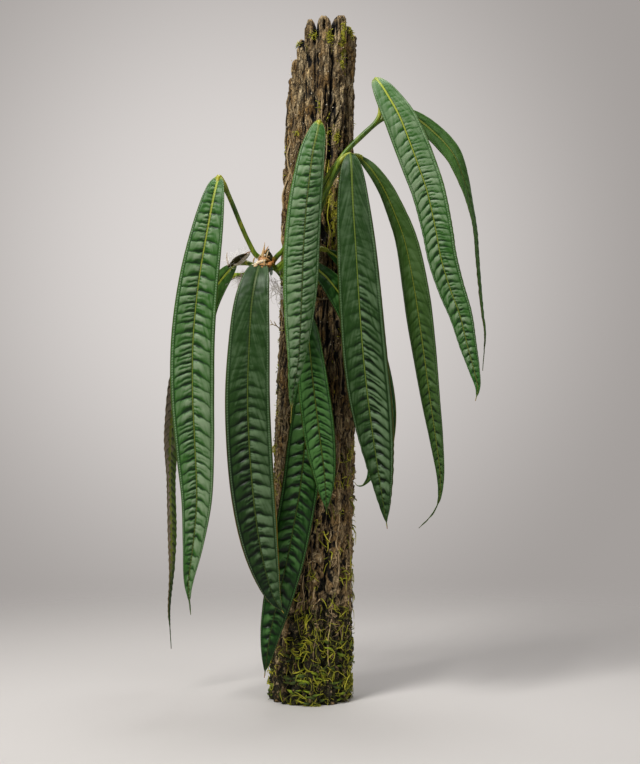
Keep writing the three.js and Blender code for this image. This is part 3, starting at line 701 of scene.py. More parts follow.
def wood_finish():
    finish = Finish("weathered_wood", 0.92)
    crest_light_groove_shade = finish.own("crest_light_groove_shade")
    streaks = finish.grain(260, 7, finish.stretched((1, 1, 0.22)), 0.7)
    patches = finish.grain(42, 4)
    grey = finish.ramp(streaks, [(0.34, "#33281a"), (0.44, "#816a44"), (0.55, "#bea57a"), (0.7, "#edd9b0")])
    brown = finish.ramp(streaks, [(0.34, "#261a0c"), (0.46, "#76582c"), (0.58, "#b48f54"),
                                  (0.74, "#e4c488")])
    wood = finish.mix(finish.between(patches, 0.4, 0.6), brown, grey)
    height = finish.part_of(finish.place, "Z")
    wood = finish.mix(finish.between(height, 0.4, 0.2, 0, 0.3), wood, paint("#c9a46c"))
    # Plates of wood, each with its own tone, and painted shade in the cracks round them
    long_way = finish.warped(finish.stretched((1, 1, 0.38)), 110, 0.006)
    short_way = finish.warped(finish.stretched((1, 1, 0.55)), 160, 0.005)
    plate_tone = finish.part_of(finish.plates(125, long_way, "F1"), "X")
    wood = finish.mix(finish.between(plate_tone, 0.55, 0.95, 0, 0.3), wood, paint("#e0cfa8"))
    wood = finish.mix(finish.between(plate_tone, 0.4, 0.05, 0, 0.28), wood, paint("#2a1d0f"))
    # Painted light on the raised crests
    wood = finish.mix(finish.between(crest_light_groove_shade, -0.1, -0.4, 0, 0.6), wood, paint("#dccca4"))
    big_cracks = finish.plates(125, long_way, "DISTANCE_TO_EDGE")
    small_cracks = finish.plates(270, short_way, "DISTANCE_TO_EDGE")
    wood = finish.mix(finish.between(big_cracks, 0.08, 0.02, 0, 0.62), wood, paint("#120a04"))
    wood = finish.mix(finish.between(small_cracks, 0.08, 0.02, 0, 0.36), wood, paint("#1c1208"))
    # Painted shade in pits, in the grooves between strands and in the hollow top
    wood = finish.mix(finish.between(crest_light_groove_shade, 0.25, 0.65), wood, paint("#080402"))
    film = finish.times(finish.own("film"), finish.between(finish.grain(150, 5), 0.36, 0.52))
    moss = finish.between(film, 0.25, 0.6, 0, 0.95)
    # Below half the height the moss is near-black green, partly painted shade; above it is yellow-green
    green = finish.ramp(finish.grain(420, 5), [(0.4, "#050501"), (0.54, "#171804"), (0.7, "#5e6212")])
    bright = finish.ramp(finish.grain(380, 4), [(0.34, "#55560a"), (0.5, "#98951a"), (0.66, "#cbc440")])
    green = finish.mix(finish.between(height, 0.5, 0.65), green, bright)
    finish.colour(finish.mix(moss, wood, green))
    fibre = finish.grain(750, 6, finish.stretched((1, 1, 0.3)), 0.65)
    carved = finish.plus(finish.between(big_cracks, 0, 0.16, 0, 1.1),
                         finish.between(small_cracks, 0, 0.2, 0, 0.7))
    finish.relief(finish.plus(fibre, carved), 1.0, 0.0014)
    return finish.material


def moss_finish(name, colours):
    """Dark at the root of each thread or frond, yellow-green at its end"""
    finish = Finish(name, 0.75)
    share = finish.times(finish.own("along"), 0.45)
    share = finish.plus(share, finish.times(finish.own("tint"), 0.5))
    share = finish.plus(share, finish.times(finish.grain(90, 4), 0.35))
    finish.colour(finish.ramp(share, list(zip((0.15, 0.45, 0.75, 1), colours))))
    return finish.material


def thread_finish(name, dark, light, roughness=0.85, painted_glow=0.0):
    """Threads and roots, each with its own tint of two colours; the last argument is painted light, a glow
    in the light colour in place of the light that hairs let through
    """
    finish = Finish(name, roughness)
    speckle = finish.times(finish.grain(600, 3), 0.35)
    share = finish.between(finish.plus(finish.own("tint"), speckle), 0.1, 1.2)
    finish.colour(finish.mix(share, paint(dark), paint(light)))
    # Painted light: the threads glow in their light colour
    if painted_glow:
        finish.shader.inputs["Emission Color"].default_value = paint(light)
        finish.shader.inputs["Emission Strength"].default_value = painted_glow
    return finish.material


# Post
def post_centre(z):
    return POST_LEAN * z


def post_radius(z):
    return lerp(POST_FOOT_RADIUS, POST_TOP_RADIUS,
                smooth((z - POST_TAPER_FROM) / (POST_TAPER_TO - POST_TAPER_FROM)))


def strand_wave(i, z):
    return CREST_WAVE * np.sin(z / 85 + 2.1 * i) * smooth(z / 60)


def strand_sway(i, z):
    return STRAND_SWAY * np.sin(z / 150 + 1.7 * i)


def between_strands(share):
    """The strand before a place round the post, the next one, and how far the place is between them.
    share runs from 0 to 1 round the post, from the first strand on."""
    place = share * len(STRANDS)
    i = np.floor(place).astype(int) % len(STRANDS)
    return i, (i + 1) % len(STRANDS), place - np.floor(place)


def bark_detail(x, y, z):
    """Relief of the weathered fibres, in millimetres, at a place on a smooth post"""
    around = math.atan2(x, -y)
    curly = smooth_step((CURLY_BELOW - z) / 260)
    # Towards the top the fibres run straighter and longer
    z = min(z, STRAIGHT_FROM) + max(0, z - STRAIGHT_FROM) / 1.5
    bend = noise.noise((x / 13, y / 13, z / 34))
    lean = noise.noise((x / 6 + 9, y / 6, z / 13))
    lump = noise.noise((x / 11, y / 11, z / 44 + 7))
    gap = abs(noise.noise((x / 7 + 2 * bend, y / 7, z / 60)))
    grain = math.sin(GRAIN_RIDGES * around + 2 * math.pi * (1.5 * bend + (0.3 + 0.6 * curly) * lean))
    fibre = abs(noise.noise((x / 2.4, y / 2.4 + 40, z / 11 + lean)))
    knot = noise.noise((x / 2.8, y / 2.8, z / 6 + 31))
    hole = noise.noise((x / 4.6 + 50, y / 4.6, z / 14))
    height = 2.4 * lump - (3.2 + curly) * (1 - min(1, gap * 6)) ** 2 + (1.1 + 0.5 * curly) * grain
    height += 1.1 * min(1, fibre * 3) + (0.7 + 0.5 * curly) * knot
    if hole > 0.27:
        height -= min(5.0, (hole - 0.27) * 34)
    # Long plates with cracks between them, and small round pits
    plate = noise.voronoi((x / 7.5 + 0.5 * bend, y / 7.5, z / 19))[0]
    height -= 1.9 * (1 - min(1, (plate[1] - plate[0]) * 3.2))
    pit = noise.voronoi((x / 9 + 20, y / 9, z / 12))[0]
    height -= 3.2 * max(0, 1 - pit[0] / 0.2)
    return height


def post_surface(share, z):
    """Direction in degrees, crest radius and groove share on the strands at a place round the post"""
    i, k, part = between_strands(share)
    degrees = np.array([s[0] for s in STRANDS], float)
    start, end = degrees[i], degrees[k] + np.where(k == 0, 360, 0)
    sway = lerp(strand_sway(i, z), strand_sway(k, z), part)
    radius = post_radius(z) + lerp(strand_wave(i, z), strand_wave(k, z), part)
    high = smooth((z - GROOVES_NARROW_FROM) / 120)
    depth = (1 - np.abs(2 * part - 1)) ** lerp(2.4, 5, high) * lerp(1.25, 1.15, high)
    return lerp(start, end, part) + sway, radius, depth


def strand_top(share):
    """Height where the strand at a place round the post broke off, and its distance from the groove"""
    i, k, part = between_strands(share)
    tops = np.array([s[1] for s in STRANDS], float)
    from_groove = np.abs(2 * part - 1)
    own = np.where(part < 0.5, tops[i], tops[k])
    low = np.minimum(tops[i], tops[k])
    return lerp(low, own, smooth(from_groove / 0.35)) - 18 * (1 - from_groove) ** 3, from_groove


# Thin moss on the wood above the foot, its dark green below half a metre partly painted shade:
# [direction, height, spread in degrees, spread in height, how thick]
MOSS_FILMS = [
    (38, 908, 6, 24, 1), (36, 873, 6, 10, 0.8), (64, 924, 7, 7, 1), (-16, 914, 4, 6, 1),
    (13, 910, 5, 10, 1), (-31, 896, 6, 7, 0.5), (-46, 904, 4, 6, 1), (29, 772, 7, 12, 0.8),
    (12, 776, 6, 14, 0.8), (-3, 815, 2, 8, 1), (-41, 778, 4, 5, 1), (38, 823, 4, 26, 0.5),
    (16, 690, 9, 70, 0.7), (-80, 560, 10, 60, 0.6), (150, 700, 30, 120, 0.5), (-140, 480, 25, 90, 0.5),
    (-88, 535, 14, 50, 1), (-88, 450, 12, 60, 0.9), (-84, 370, 8, 50, 0.8), (88, 420, 8, 110, 0.7),
    (28, 660, 8, 60, 0.7),
]


def moss_film(degrees, z):
    film = np.zeros(len(z))
    for direction, height, wide, tall, thick in MOSS_FILMS:
        away = (degrees - direction + 180) % 360 - 180
        film = np.maximum(film, thick * np.exp(-((away / wide) ** 2) - ((z - height) / tall) ** 2))
    return film


# Where the foot stays nearly bare, in degrees and in height
BARE_FROM, BARE_TO = -78, -34
BARE_UP_TO = 110


def foot_moss(degrees, z):
    bare = smooth((degrees - BARE_FROM) / 6) * smooth((BARE_TO - degrees) / 6)
    # Moss round the foot, and thinner up to 340 mm; its dark green is partly painted shade
    return (2.4 * smooth((150 - z) / 130) + 0.36 * smooth((340 - z) / 180)) * (1 - 0.75 * bare)


# Rings over the broken top: [share of the radius, drop below the strand's tip], then the hollow's own
# heights
TOP_RINGS = [(0.97, 1.6), (0.9, 0), (0.8, 0.8), (0.7, 3), (0.63, 9)]
HEART_RINGS = [(0.57, 8), (0.5, 0), (0.34, -3), (0.17, -2), (0.0, -4)]


# Until the post is shaped, a point's height is its level: 0 to 1 up the side, then these for the rings
TOP_LEVEL = 1.1
HEART_LEVEL = 2.1
LEVEL_STEP = 0.1
SIDE_BELOW_TIP = 5  # how far under a strand's tip its side ends


def post_mesh():
    profile = [(0, 0), (0.5, 0)]
    profile += [(1, row / POST_ROWS) for row in range(POST_ROWS + 1)]
    profile += [(share, TOP_LEVEL + LEVEL_STEP * i) for i, (share, _) in enumerate(TOP_RINGS)]
    profile += [(share, HEART_LEVEL + LEVEL_STEP * i) for i, (share, _) in enumerate(HEART_RINGS)]
    bm = bmesh.new()
    line = [bm.verts.new((share, 0, level)) for share, level in profile]
    edges = [bm.edges.new(pair) for pair in zip(line, line[1:])]
    bmesh.ops.spin(bm, geom=line + edges, cent=(0, 0, 0), axis=(0, 0, 1), dvec=(0, 0, 0), angle=2 * math.pi,
                   steps=POST_COLUMNS, use_merge=True, use_duplicate=False)
    bmesh.ops.remove_doubles(bm, verts=bm.verts, dist=1e-6)
    bmesh.ops.recalc_face_normals(bm, faces=bm.faces)
    put_in_order(bm)
    mesh = to_mesh(bm, "weathered_post")
    places = coordinates(mesh)
    turns = np.arctan2(places[:, 1], places[:, 0]) / (2 * math.pi)
    around = np.round(turns * POST_COLUMNS) / POST_COLUMNS % 1
    inwards = np.hypot(places[:, 0], places[:, 1])
    level = places[:, 2]
    top, from_groove = strand_top(around)
    above_side = level > (1 + TOP_LEVEL) / 2
    in_heart = level > HEART_LEVEL - LEVEL_STEP / 2
    ring = np.clip(np.round((level - TOP_LEVEL) / LEVEL_STEP).astype(int), 0, len(TOP_RINGS) - 1)
    heart = np.clip(np.round((level - HEART_LEVEL) / LEVEL_STEP).astype(int), 0, len(HEART_RINGS) - 1)
    z = np.clip(level, 0, 1) * (top - SIDE_BELOW_TIP)
    z = np.where(above_side & ~in_heart, top - np.array([drop for _, drop in TOP_RINGS])[ring], z)
    z = np.where(in_heart, HEART_HEIGHT + np.array([rise for _, rise in HEART_RINGS])[heart], z)
    degrees, radius, depth = post_surface(around, z)
    turn = np.radians(degrees)
    radius = radius - GROOVE_DEPTH * depth
    detail = np.array([
        bark_detail(BARK_RADIUS * math.sin(a), -BARK_RADIUS * math.cos(a), h) for a, h in zip(turn, z)])
    fade = smooth(z / 4) * np.where(above_side, 0.35, 1)
    out = inwards * radius + detail * fade * np.where(inwards > 0.3, 1, 0)
    ragged = np.array([noise.noise((x / 3, h / 3, 4)) for x, h in zip(turn * BARK_RADIUS, z)])
    rough = np.where(in_heart, 2.2 * ragged + 0.6 * detail,
                     (1.5 * ragged + 0.2 * detail) * smooth(from_groove * 3))
    z = z + np.where(level > 0.995, rough, 0)
    set_coordinates(mesh, np.column_stack([post_centre(z) + out * np.sin(turn), -out * np.cos(turn),
                                           np.maximum(z, 0)]) * MM)
    # How sunk a place is, for painted shade in pits, grooves and the hollow top and painted light on the
    # crests
    crest_light_groove_shade = np.clip((0.6 - detail) / 7, -0.6, 1) + 0.35 * depth
    set_attribute(mesh, "crest_light_groove_shade", crest_light_groove_shade + np.where(in_heart, 0.5, 0))
    set_attribute(mesh, "film", np.maximum(moss_film(np.degrees(turn), z), foot_moss(np.degrees(turn), z)))
    shade_smooth(mesh)
    return mesh


def share_round(degrees):
    """How far round the post a direction is, from 0 to 1, counted in strands"""
    spread = [(s[0] + 360 - STRANDS[0][0]) % 360 for s in STRANDS] + [360]
    away = (degrees - STRANDS[0][0]) % 360
    return np.interp(away, spread, np.arange(len(spread))) / len(STRANDS)


def top_at(degrees):
    return strand_top(np.array([share_round(degrees)]))[0][0]


def on_post(degrees, z, lift=0.0):
    """A place on the post's surface in that direction"""
    share = share_round(degrees)
    _, radius, depth = post_surface(np.array([share]), np.array([float(z)]))
    a = math.radians(degrees)
    out = float(radius[0] - GROOVE_DEPTH * depth[0])
    out += bark_detail(BARK_RADIUS * math.sin(a), -BARK_RADIUS * math.cos(a), z) + lift
    return np.array([post_centre(z) + out * math.sin(a), -out * math.cos(a), z])


# Leaves
def half_width(leaf, t):
    before = np.clip(1 - t / leaf["widest"], 0, 1)
    after = np.clip((t - leaf["widest"]) / (leaf["end"] - leaf["widest"]), 0, 1)
    share = np.where(t < leaf["widest"], (1 - before**2) ** leaf["base"],
                     (1 - after ** leaf["tip"]) ** TIP_POWER)
    return np.maximum(LEAST_HALF_WIDTH, leaf["width"] / 2 * share)


class Blade:
    """The smooth surface of a leaf: places, faces and directions across along its midrib"""

    SAMPLES = 800

    def __init__(self, leaf):
        self.leaf = leaf
        self.places, self.length = route(leaf["midrib"], self.SAMPLES)
        t = np.linspace(0, 1, self.SAMPLES)
        tangent = unit(np.gradient(self.places, axis=0))
        turn = np.radians(along_values(leaf["turn"], t))
        rise = math.radians(leaf["rise"]) * (1 - smooth(t / 0.25))
        facing = np.column_stack([np.sin(turn) * np.cos(rise), -np.cos(turn) * np.cos(rise), np.sin(rise)])
        self.faces = unit(facing - tangent * np.sum(facing * tangent, axis=1, keepdims=True))
        self.across = np.cross(self.faces, tangent)

    def at(self, t):
        marks = np.linspace(0, 1, self.SAMPLES)
        return [np.column_stack([np.interp(t, marks, rows[:, k]) for k in range(3)])
                for rows in (self.places, self.faces, self.across)]


def chance(number, seed):
    """A steady random share for each whole number"""
    return np.modf(np.abs(np.sin(number * 12.9898 + seed * 78.233) * 4375.85))[0]


def pillow_profile(cell):
    """From one crease (0) to the next (1) along the blade: rises steeply, then falls away to the tip"""
    return 2.545 * np.sqrt(cell) * (1 - cell) ** 0.95


def pillows(leaf, seed, t, run, s):
    """Height of the puckered surface in millimetres, its painted light and shade, its count of veins and
    its relief
    """
    half = half_width(leaf, t)
    outwards = np.abs(s)
    right = (s > 0).astype(float)
    side = seed + 7.3 * right
    envelope = np.sin(math.pi * np.minimum(1, 5 * np.minimum(t + 0.02, 1 - t)) / 2)
    plain = np.where(s < 0, leaf["plain"][0], leaf["plain"][1])
    strength = envelope * lerp(leaf["pucker"][0], leaf["pucker"][1], smooth((t - plain) / 0.4))
    wander = 0.25 * np.sin(run / 31 + 1.7 * side) + 0.16 * np.sin(run / 13.7 + 2.3 * side)
    warp = 0.05 * np.sin(outwards * 5 + run / 7.1 + side)
    warp = warp + 0.035 * np.sin(outwards * 13 - run / 4.7 + 2 * side)
    pitch = np.where(s < 0, leaf["pitch"][0], leaf["pitch"][1])
    # The pillows lie closer together near the base
    crowded = 1.6 * (1 - np.exp(-run / 90))
    phase = run / pitch + crowded + wander + 0.5 * right + warp * smooth(outwards / 0.25) + 3
    number = np.floor(phase)
    cell = phase - number
    inner = 1 - smooth((outwards - 0.12) / 0.5)
    # Each pillow has a second, shorter crease from the midrib, and each part of it a still shorter one
    split = 0.4 + 0.24 * chance(number, side + 2)
    sub_cell = np.where(cell < split, cell / split, (cell - split) / (1 - split))
    sub_reach = 0.26 + 0.4 * chance(number, side + 3)
    in_sub = (1 - smooth((outwards - sub_reach) / 0.14)) * smooth(6 * (chance(number, side + 6) - 0.22))
    in_sub = in_sub * np.where(s < 0, leaf["comb"][0], leaf["comb"][1])
    sub_number = 2 * number + (cell > split)
    fine_cell = np.modf(2 * sub_cell)[0]
    fine_reach = 0.22 * chance(sub_number, side + 4) - 0.02
    in_fine = 1 - smooth((outwards - fine_reach) / 0.1)
    main = pillow_profile(cell) ** lerp(0.4, 1.9, inner)
    shape = main + 0.68 * in_sub * (pillow_profile(sub_cell) ** 1.5 - main)
    shape += 0.42 * in_fine * (pillow_profile(fine_cell) - shape)
    field = smooth((outwards - 0.012) / 0.06) * (1 - smooth((outwards - COLLECTING_VEIN + 0.055) / 0.045))
    vary = 0.7 + 0.6 * chance(number, side)
    press = np.where(s < 0, leaf["press"][0], leaf["press"][1])
    depth = vary * lerp(0.4, 1, inner) * strength * press
    height = PILLOW_HEIGHT * field * (shape - 0.55) * depth
    from_crease = np.minimum(cell, 1 - cell) * pitch
    height -= 0.6 * field * np.exp(-((from_crease / 0.9) ** 2)) * np.minimum(1, 0.06 + strength) * envelope
    from_midrib = outwards * half
    height -= 1.1 * np.exp(-((from_midrib / 1.9) ** 2)) * smooth(t / 0.04)
    height += 0.6 * np.exp(-((from_midrib / 0.75) ** 2))
    beads = 0.55 + 0.45 * np.sin(2 * math.pi * run / STITCH_PITCH)
    groove = np.exp(-(((outwards - COLLECTING_VEIN) / 0.022) ** 2)) * envelope
    height -= (0.15 + 0.5 * beads) * groove
    edge = smooth((outwards - COLLECTING_VEIN - 0.015) / 0.045)
    height += edge * (0.3 * envelope + 0.35 * strength * np.sin(2 * math.pi * phase))
    height -= 0.9 * smooth((outwards - 0.92) / 0.08) * envelope
    height += 0.05 * half * np.sin(math.pi * outwards) * envelope
    # Painted light on the pillows' tops and painted shade in their hollows, for the colour only
    bright = 0.54 + field * (shape - 0.54) * np.minimum(1.9, 1.9 * depth)
    # Painted light and shade on each half, lighter or darker as the light falls on it
    (left_base, left_tip), (right_base, right_tip) = leaf["half_painted_light"]
    onwards = smooth((t - 0.25) / 0.35)
    half_painted_light = np.where(s < 0, lerp(left_base, left_tip, onwards), lerp(right_base, right_tip, onwards))
    half_painted_light = half_painted_light * smooth(outwards / 0.1)
    return height, np.clip(bright + half_painted_light, 0, 1.3), phase, strength * press


def blade_mesh(name, leaf, seed):
    blade = Blade(leaf)
    leaf["end"] = 1 - leaf["tail"] / blade.length
    columns = 2 * (len(HALF_COLUMNS) - 1)
    rows = round(blade.length / leaf["row"])
    bm = bmesh.new()
    bmesh.ops.create_grid(bm, x_segments=columns, y_segments=rows, size=1)
    mesh = to_mesh(bm, name)
    grid = coordinates(mesh)
    column = np.round((grid[:, 0] + 1) / 2 * columns).astype(int)
    across_shares = np.array([-c for c in reversed(HALF_COLUMNS[1:])] + HALF_COLUMNS)
    s = across_shares[column]
    t = (1 - grid[:, 1]) / 2
    run = t * blade.length
    outwards = np.abs(s)
    left_base, left_tip, right_base, right_tip = leaf["sweep"]
    slant = np.where(s < 0, lerp(left_base, left_tip, t), lerp(right_base, right_tip, t))
    reach = slant * (0.45 * outwards + 0.55 * outwards**2)
    swept = np.clip(t + reach * half_width(leaf, t) * np.sin(math.pi * t) / blade.length, 0, 1)
    place, face, across = blade.at(swept)
    half = half_width(leaf, swept)
    fold = math.radians(leaf["fold"])
    height, shape, phase, puckered = pillows(leaf, seed, t, run, s)
    blister = np.array([noise.noise((r / 7, a * 3.5, seed)) for r, a in zip(run, s)])
    height = height + 0.45 * blister * smooth(outwards * 6) * smooth(t * 12) * smooth((1 - t) * 12)
    lift = -outwards * half * math.sin(fold) + height
    sideways = s * half * math.cos(fold)
    set_coordinates(mesh, (place + across * sideways[:, None] + face * lift[:, None]) * MM)
    gold = along_values(leaf["gold"], swept)
    cap = leaf["cap"] * smooth(1 - swept * blade.length / 9)
    dry = leaf["dry"][0] * smooth(1 - (1 - swept) * blade.length / leaf["dry"][1])
    rim = 0.15 + np.where(s < 0, leaf["rim"][0], leaf["rim"][1]) * smooth((t - 0.55) / 0.2)
    # The lift attribute holds the painted light and shade, not a height
    for attribute, values in (
            ("across", s), ("along", swept), ("run", run), ("lift", shape), ("rib", outwards * half),
            ("phase", phase), ("puckered", puckered), ("gold", gold), ("cap", cap), ("dry", dry),
            ("rim", rim)):
        set_attribute(mesh, attribute, values)
    return mesh, blade


# The petiole runs out under the blade: how far along it, and how deep below its upper face
RUN_OUT = (0.03, 0.08, 0.14)
RUN_OUT_DEPTH = (4.1, 2.9, 1.6)
PETIOLE_STEPS = 70


def petiole_mesh(name, leaf, blade):
    place, face, _ = blade.at(np.array(RUN_OUT))
    under = place - face * np.array(RUN_OUT_DEPTH)[:, None]
    start = np.array(leaf["midrib"][0]) - leaf["tuck"] * face[0]
    path, length = route([*leaf["petiole"], start, *under], PETIOLE_STEPS)
    along = np.linspace(0, 1, PETIOLE_STEPS)
    blade_start = 1 - RUN_OUT[-1] * blade.length / length
    flare = 0.5 * (1 - smooth(along / 0.2))
    joint = 1.1 * np.exp(-(((along - blade_start) * length + 12) / 9) ** 2)
    run_out = 1 - 0.85 * smooth(1.5 * (along - blade_start) / (1 - blade_start))
    radii = (PETIOLE_RADIUS - 0.1 + flare + joint) * run_out
    mesh = tubes(name, [path], [radii], 3)
    each = len(mesh.vertices) // PETIOLE_STEPS
    set_attribute(mesh, "along", np.repeat(along, each))
    from_blade = (blade_start - along) * length
    set_attribute(mesh, "joint", np.repeat(leaf["joint"] * (1 - smooth((from_blade - 6) / 22)), each))
    set_attribute(mesh, "foot", np.repeat(1 - smooth((along * length - leaf["foot"]) / 5), each))
    return mesh


def add_leaves(finishes):
    for seed, (name, form) in enumerate(LEAVES.items()):
        leaf = {**USUAL, **form, **MARKS[name]}
        sheet, blade = blade_mesh(name, leaf, seed)
        solid = thickened(name, sheet, BLADE_THICKNESS, own_underside=True)
        petiole = petiole_mesh(name + "_petiole", leaf, blade)
        petiole.polygons.foreach_set("material_index", [2] * len(petiole.polygons))
        leaf_piece = joined("veined_leaf_" + name, [solid, petiole])
        under = finishes["aged_under"] if leaf["finish"] == "aged" else finishes["under"]
        add_piece("veined_leaf_" + name, leaf_piece, [finishes[leaf["finish"]], under, finishes["petiole"]],
                  ["leaf_" + name])


# Moss and loose fibres
def curls(rng, starts, outwards, length, points, turning, droop=0.0):
    """Random curling threads: each leaves its start outwards and keeps turning about its own axis"""
    count = len(starts)
    step = (length / (points - 1))[:, None]
    heading = unit(outwards + rng.normal(0, 0.55, (count, 3)))
    axis = unit(rng.normal(0, 1, (count, 3)))
    angle = rng.uniform(turning[0], turning[1], count)[:, None]
    path = [starts]
    for _ in range(points - 1):
        side = np.cross(axis, heading)
        heading = unit(heading * np.cos(angle) + side * np.sin(angle) + np.array([0, 0, -droop]))
        axis = unit(axis + rng.normal(0, 0.25, (count, 3)))
        path.append(path[-1] + heading * step)
    return np.stack(path, axis=1)


def clumps(rng, count, low, high, power, each, spread):
    """Places for moss on the post, in clumps that lie closer together towards the low end"""
    degrees = np.repeat(rng.uniform(-180, 180, count), each)
    heights = np.repeat(low + (high - low) * rng.random(count) ** power, each)
    degrees = degrees + rng.normal(0, spread, len(degrees))
    heights = heights + rng.normal(0, spread, len(heights))
    on_bare = (degrees > BARE_FROM) & (degrees < BARE_TO) & (heights < BARE_UP_TO)
    kept = ~(on_bare & (rng.random(len(degrees)) < 0.75))
    return degrees[kept], heights[kept]


def patches(rng, places):
    """Places for moss in chosen patches: [direction, height, spread in degrees, spread in height, count]"""
    degrees = np.concatenate([rng.normal(d, wide, count) for d, _, wide, _, count in places])
    heights = np.concatenate([rng.normal(z, tall, count) for _, z, _, tall, count in places])
    return degrees, heights


MOSS_TAPER = [0.8, 1, 1, 0.95, 0.85, 0.7, 0.5, 0.25]


def moss_piece(name, seed, places, length, radius, proud, finish, turning=(0.15, 0.7), droop=0.1, points=8):
    """Moss threads from places on the post; none stands further off it than proud"""
    rng = np.random.default_rng(seed)
    degrees, heights = places
    heights = np.clip(heights, 1, [top_at(d) - 6 for d in degrees])
    starts = np.array([on_post(d, z, -0.8) for d, z in zip(degrees, heights)])
    a = np.radians(degrees)
    outwards = np.column_stack([np.sin(a), -np.cos(a), rng.uniform(-0.9, 0.9, len(a))]) * 0.9
    paths = curls(rng, starts, outwards, rng.uniform(*length, len(a)), points, turning, droop)
    middle = np.stack([post_centre(paths[..., 2]), np.zeros(paths.shape[:2])], axis=2)
    flat = paths[..., :2] - middle
    reach = np.linalg.norm(flat, axis=2, keepdims=True)
    limit = post_radius(paths[..., 2])[..., None] + proud * rng.uniform(0.3, 1, (len(a), 1, 1))
    paths[..., :2] = middle + flat * np.minimum(1, limit / reach)
    paths[..., 2] = np.maximum(paths[..., 2], radius[1] + 0.1)
    taper = np.interp(np.linspace(0, 1, points), np.linspace(0, 1, len(MOSS_TAPER)), MOSS_TAPER)
    radii = rng.uniform(*radius, len(a))[:, None] * taper
    mesh = tubes(name, paths, radii)
    spread_tint(mesh, len(paths), seed)
    along = np.repeat(np.linspace(0, 1, points), len(mesh.vertices) // (len(paths) * points))
    set_attribute(mesh, "along", np.tile(along, len(paths)))
    add_piece(name, mesh, [finish])


# Moss high on the post: in the gaps of its broken top, in the grooves and along the left edge
HIGH_PATCHES = [
    (-16, 912, 2.6, 3, 60), (13, 908, 3.2, 5, 90), (40, 922, 4, 8, 60), (38, 896, 3, 12, 50),
    (64, 918, 4, 6, 50), (36, 873, 3, 5, 24), (-46, 903, 2, 3, 24), (-3, 815, 1.6, 6, 14),
    (-41, 778, 3, 3, 16), (12, 776, 3, 12, 40), (28, 772, 4, 9, 24), (20, 700, 4, 34, 70),
    (26, 640, 4, 30, 50), (40, 690, 6, 30, 30), (-88, 770, 6, 30, 40), (-80, 640, 8, 50, 40),
    (84, 800, 6, 60, 30), (82, 560, 8, 90, 50), (-84, 480, 8, 80, 60), (-78, 566, 6, 20, 60),
    (60, 420, 14, 60, 40), (30, 470, 8, 40, 30), (150, 600, 40, 150, 60), (-88, 420, 5, 60, 110),
    (-93, 430, 4, 60, 110), (-86, 545, 4, 22, 50), (90, 380, 5, 110, 130), (-92, 690, 5, 60, 40),
]
# Long strands of moss that hang on the front between the leaves, and twigs: [points], in millimetres
STALKS = [
    [(20, -37, 756), (22, -41, 735), (19, -42, 716), (24, -41, 700)],
    [(26, -37, 742), (24, -41, 722), (29, -41, 704)],
    [(27, -38, 690), (24, -42, 664), (28, -43, 640), (23, -43, 618)],
    [(31, -37, 668), (33, -40, 650), (29, -42, 628)],
]
TWIGS = [
    [(-40, -26, 511), (-46, -31, 516), (-51, -33, 518), (-54, -34, 524)],
    [(-46, -31, 516), (-49, -32, 522)],
    [(-38, -28, 388), (-44, -32, 391), (-47, -33, 396)],
    [(-51, -33, 518), (-55, -33, 517)],
]


FROND_FLOOR = 3.6  # the lowest that a frond's middle line lies


def frond_strips(rng, degrees, heights):
    """Small leafy fronds of moss, for ribbons"""
    strips = []
    for d, z in zip(degrees, np.maximum(heights, FROND_FLOOR)):
        start = on_post(d, z, -1)
        a = math.radians(d)
        out = np.array([math.sin(a), -math.cos(a), 0])
        side = np.array([math.cos(a), math.sin(a), 0]) * rng.choice([-1, 1])
        size = rng.uniform(6, 12)
        rise = rng.uniform(-0.9, 1.1)
        middle = start + size * (0.42 * out + 0.55 * side + (rise * 0.7) * np.array([0, 0, 1]))
        end = start + size * (0.1 * out + 1.5 * side + rise * np.array([0, 0, 1]))
        middle[2] = max(middle[2], FROND_FLOOR)
        end[2] = max(end[2], FROND_FLOOR)
        wide = rng.uniform(3, 5.6)
        strips.append(([start, middle, end], (0.8, wide, wide * 0.8, 0.4), out + 0.4 * rng.normal(0, 1, 3),
                       rng.uniform(0.2, 0.9), rng.uniform(-0.35, 0.45)))
    return strips


STRAND_STEPS = 14


def add_moss(finish, leafy_finish):
    rng = np.random.default_rng(5)
    at_foot = clumps(rng, count=80, low=0, high=88, power=1.2, each=5, spread=5)
    moss_piece("moss_at_foot", 11, at_foot, length=(14, 36), radius=(0.5, 1.1), proud=5, finish=finish,
               turning=(0.25, 0.85))
    fine_at_foot = clumps(rng, count=120, low=0, high=112, power=1.3, each=6, spread=5)
    moss_piece("fine_moss_at_foot", 12, fine_at_foot, length=(8, 20), radius=(0.3, 0.55), proud=5,
               finish=finish, points=6)
    low_on_post = clumps(rng, count=170, low=70, high=360, power=1.3, each=5, spread=6)
    moss_piece("moss_low_on_post", 13, low_on_post, length=(12, 34), radius=(0.45, 1), proud=4,
               finish=finish, droop=0.2)
    moss_piece("moss_high_on_post", 14, patches(rng, HIGH_PATCHES), length=(2.5, 8), radius=(0.35, 0.65),
               proud=3, finish=finish, points=5)
    degrees, heights = clumps(rng, count=115, low=0, high=80, power=1.1, each=3, spread=5)
    fronds = ribbons("moss_fronds", frond_strips(rng, degrees, heights), 5, 0.35)
    add_piece("moss_fronds", fronds, [leafy_finish])
    strands = [route(points, STRAND_STEPS)[0] for points in STALKS]
    mesh = tubes("moss_strands", strands, [1.1 * np.linspace(1, 0.5, STRAND_STEPS)] * len(strands))
    spread_tint(mesh, len(strands), 15)
    set_attribute(mesh, "along", np.full(len(mesh.vertices), 0.9))
    add_piece("moss_strands", mesh, [finish])


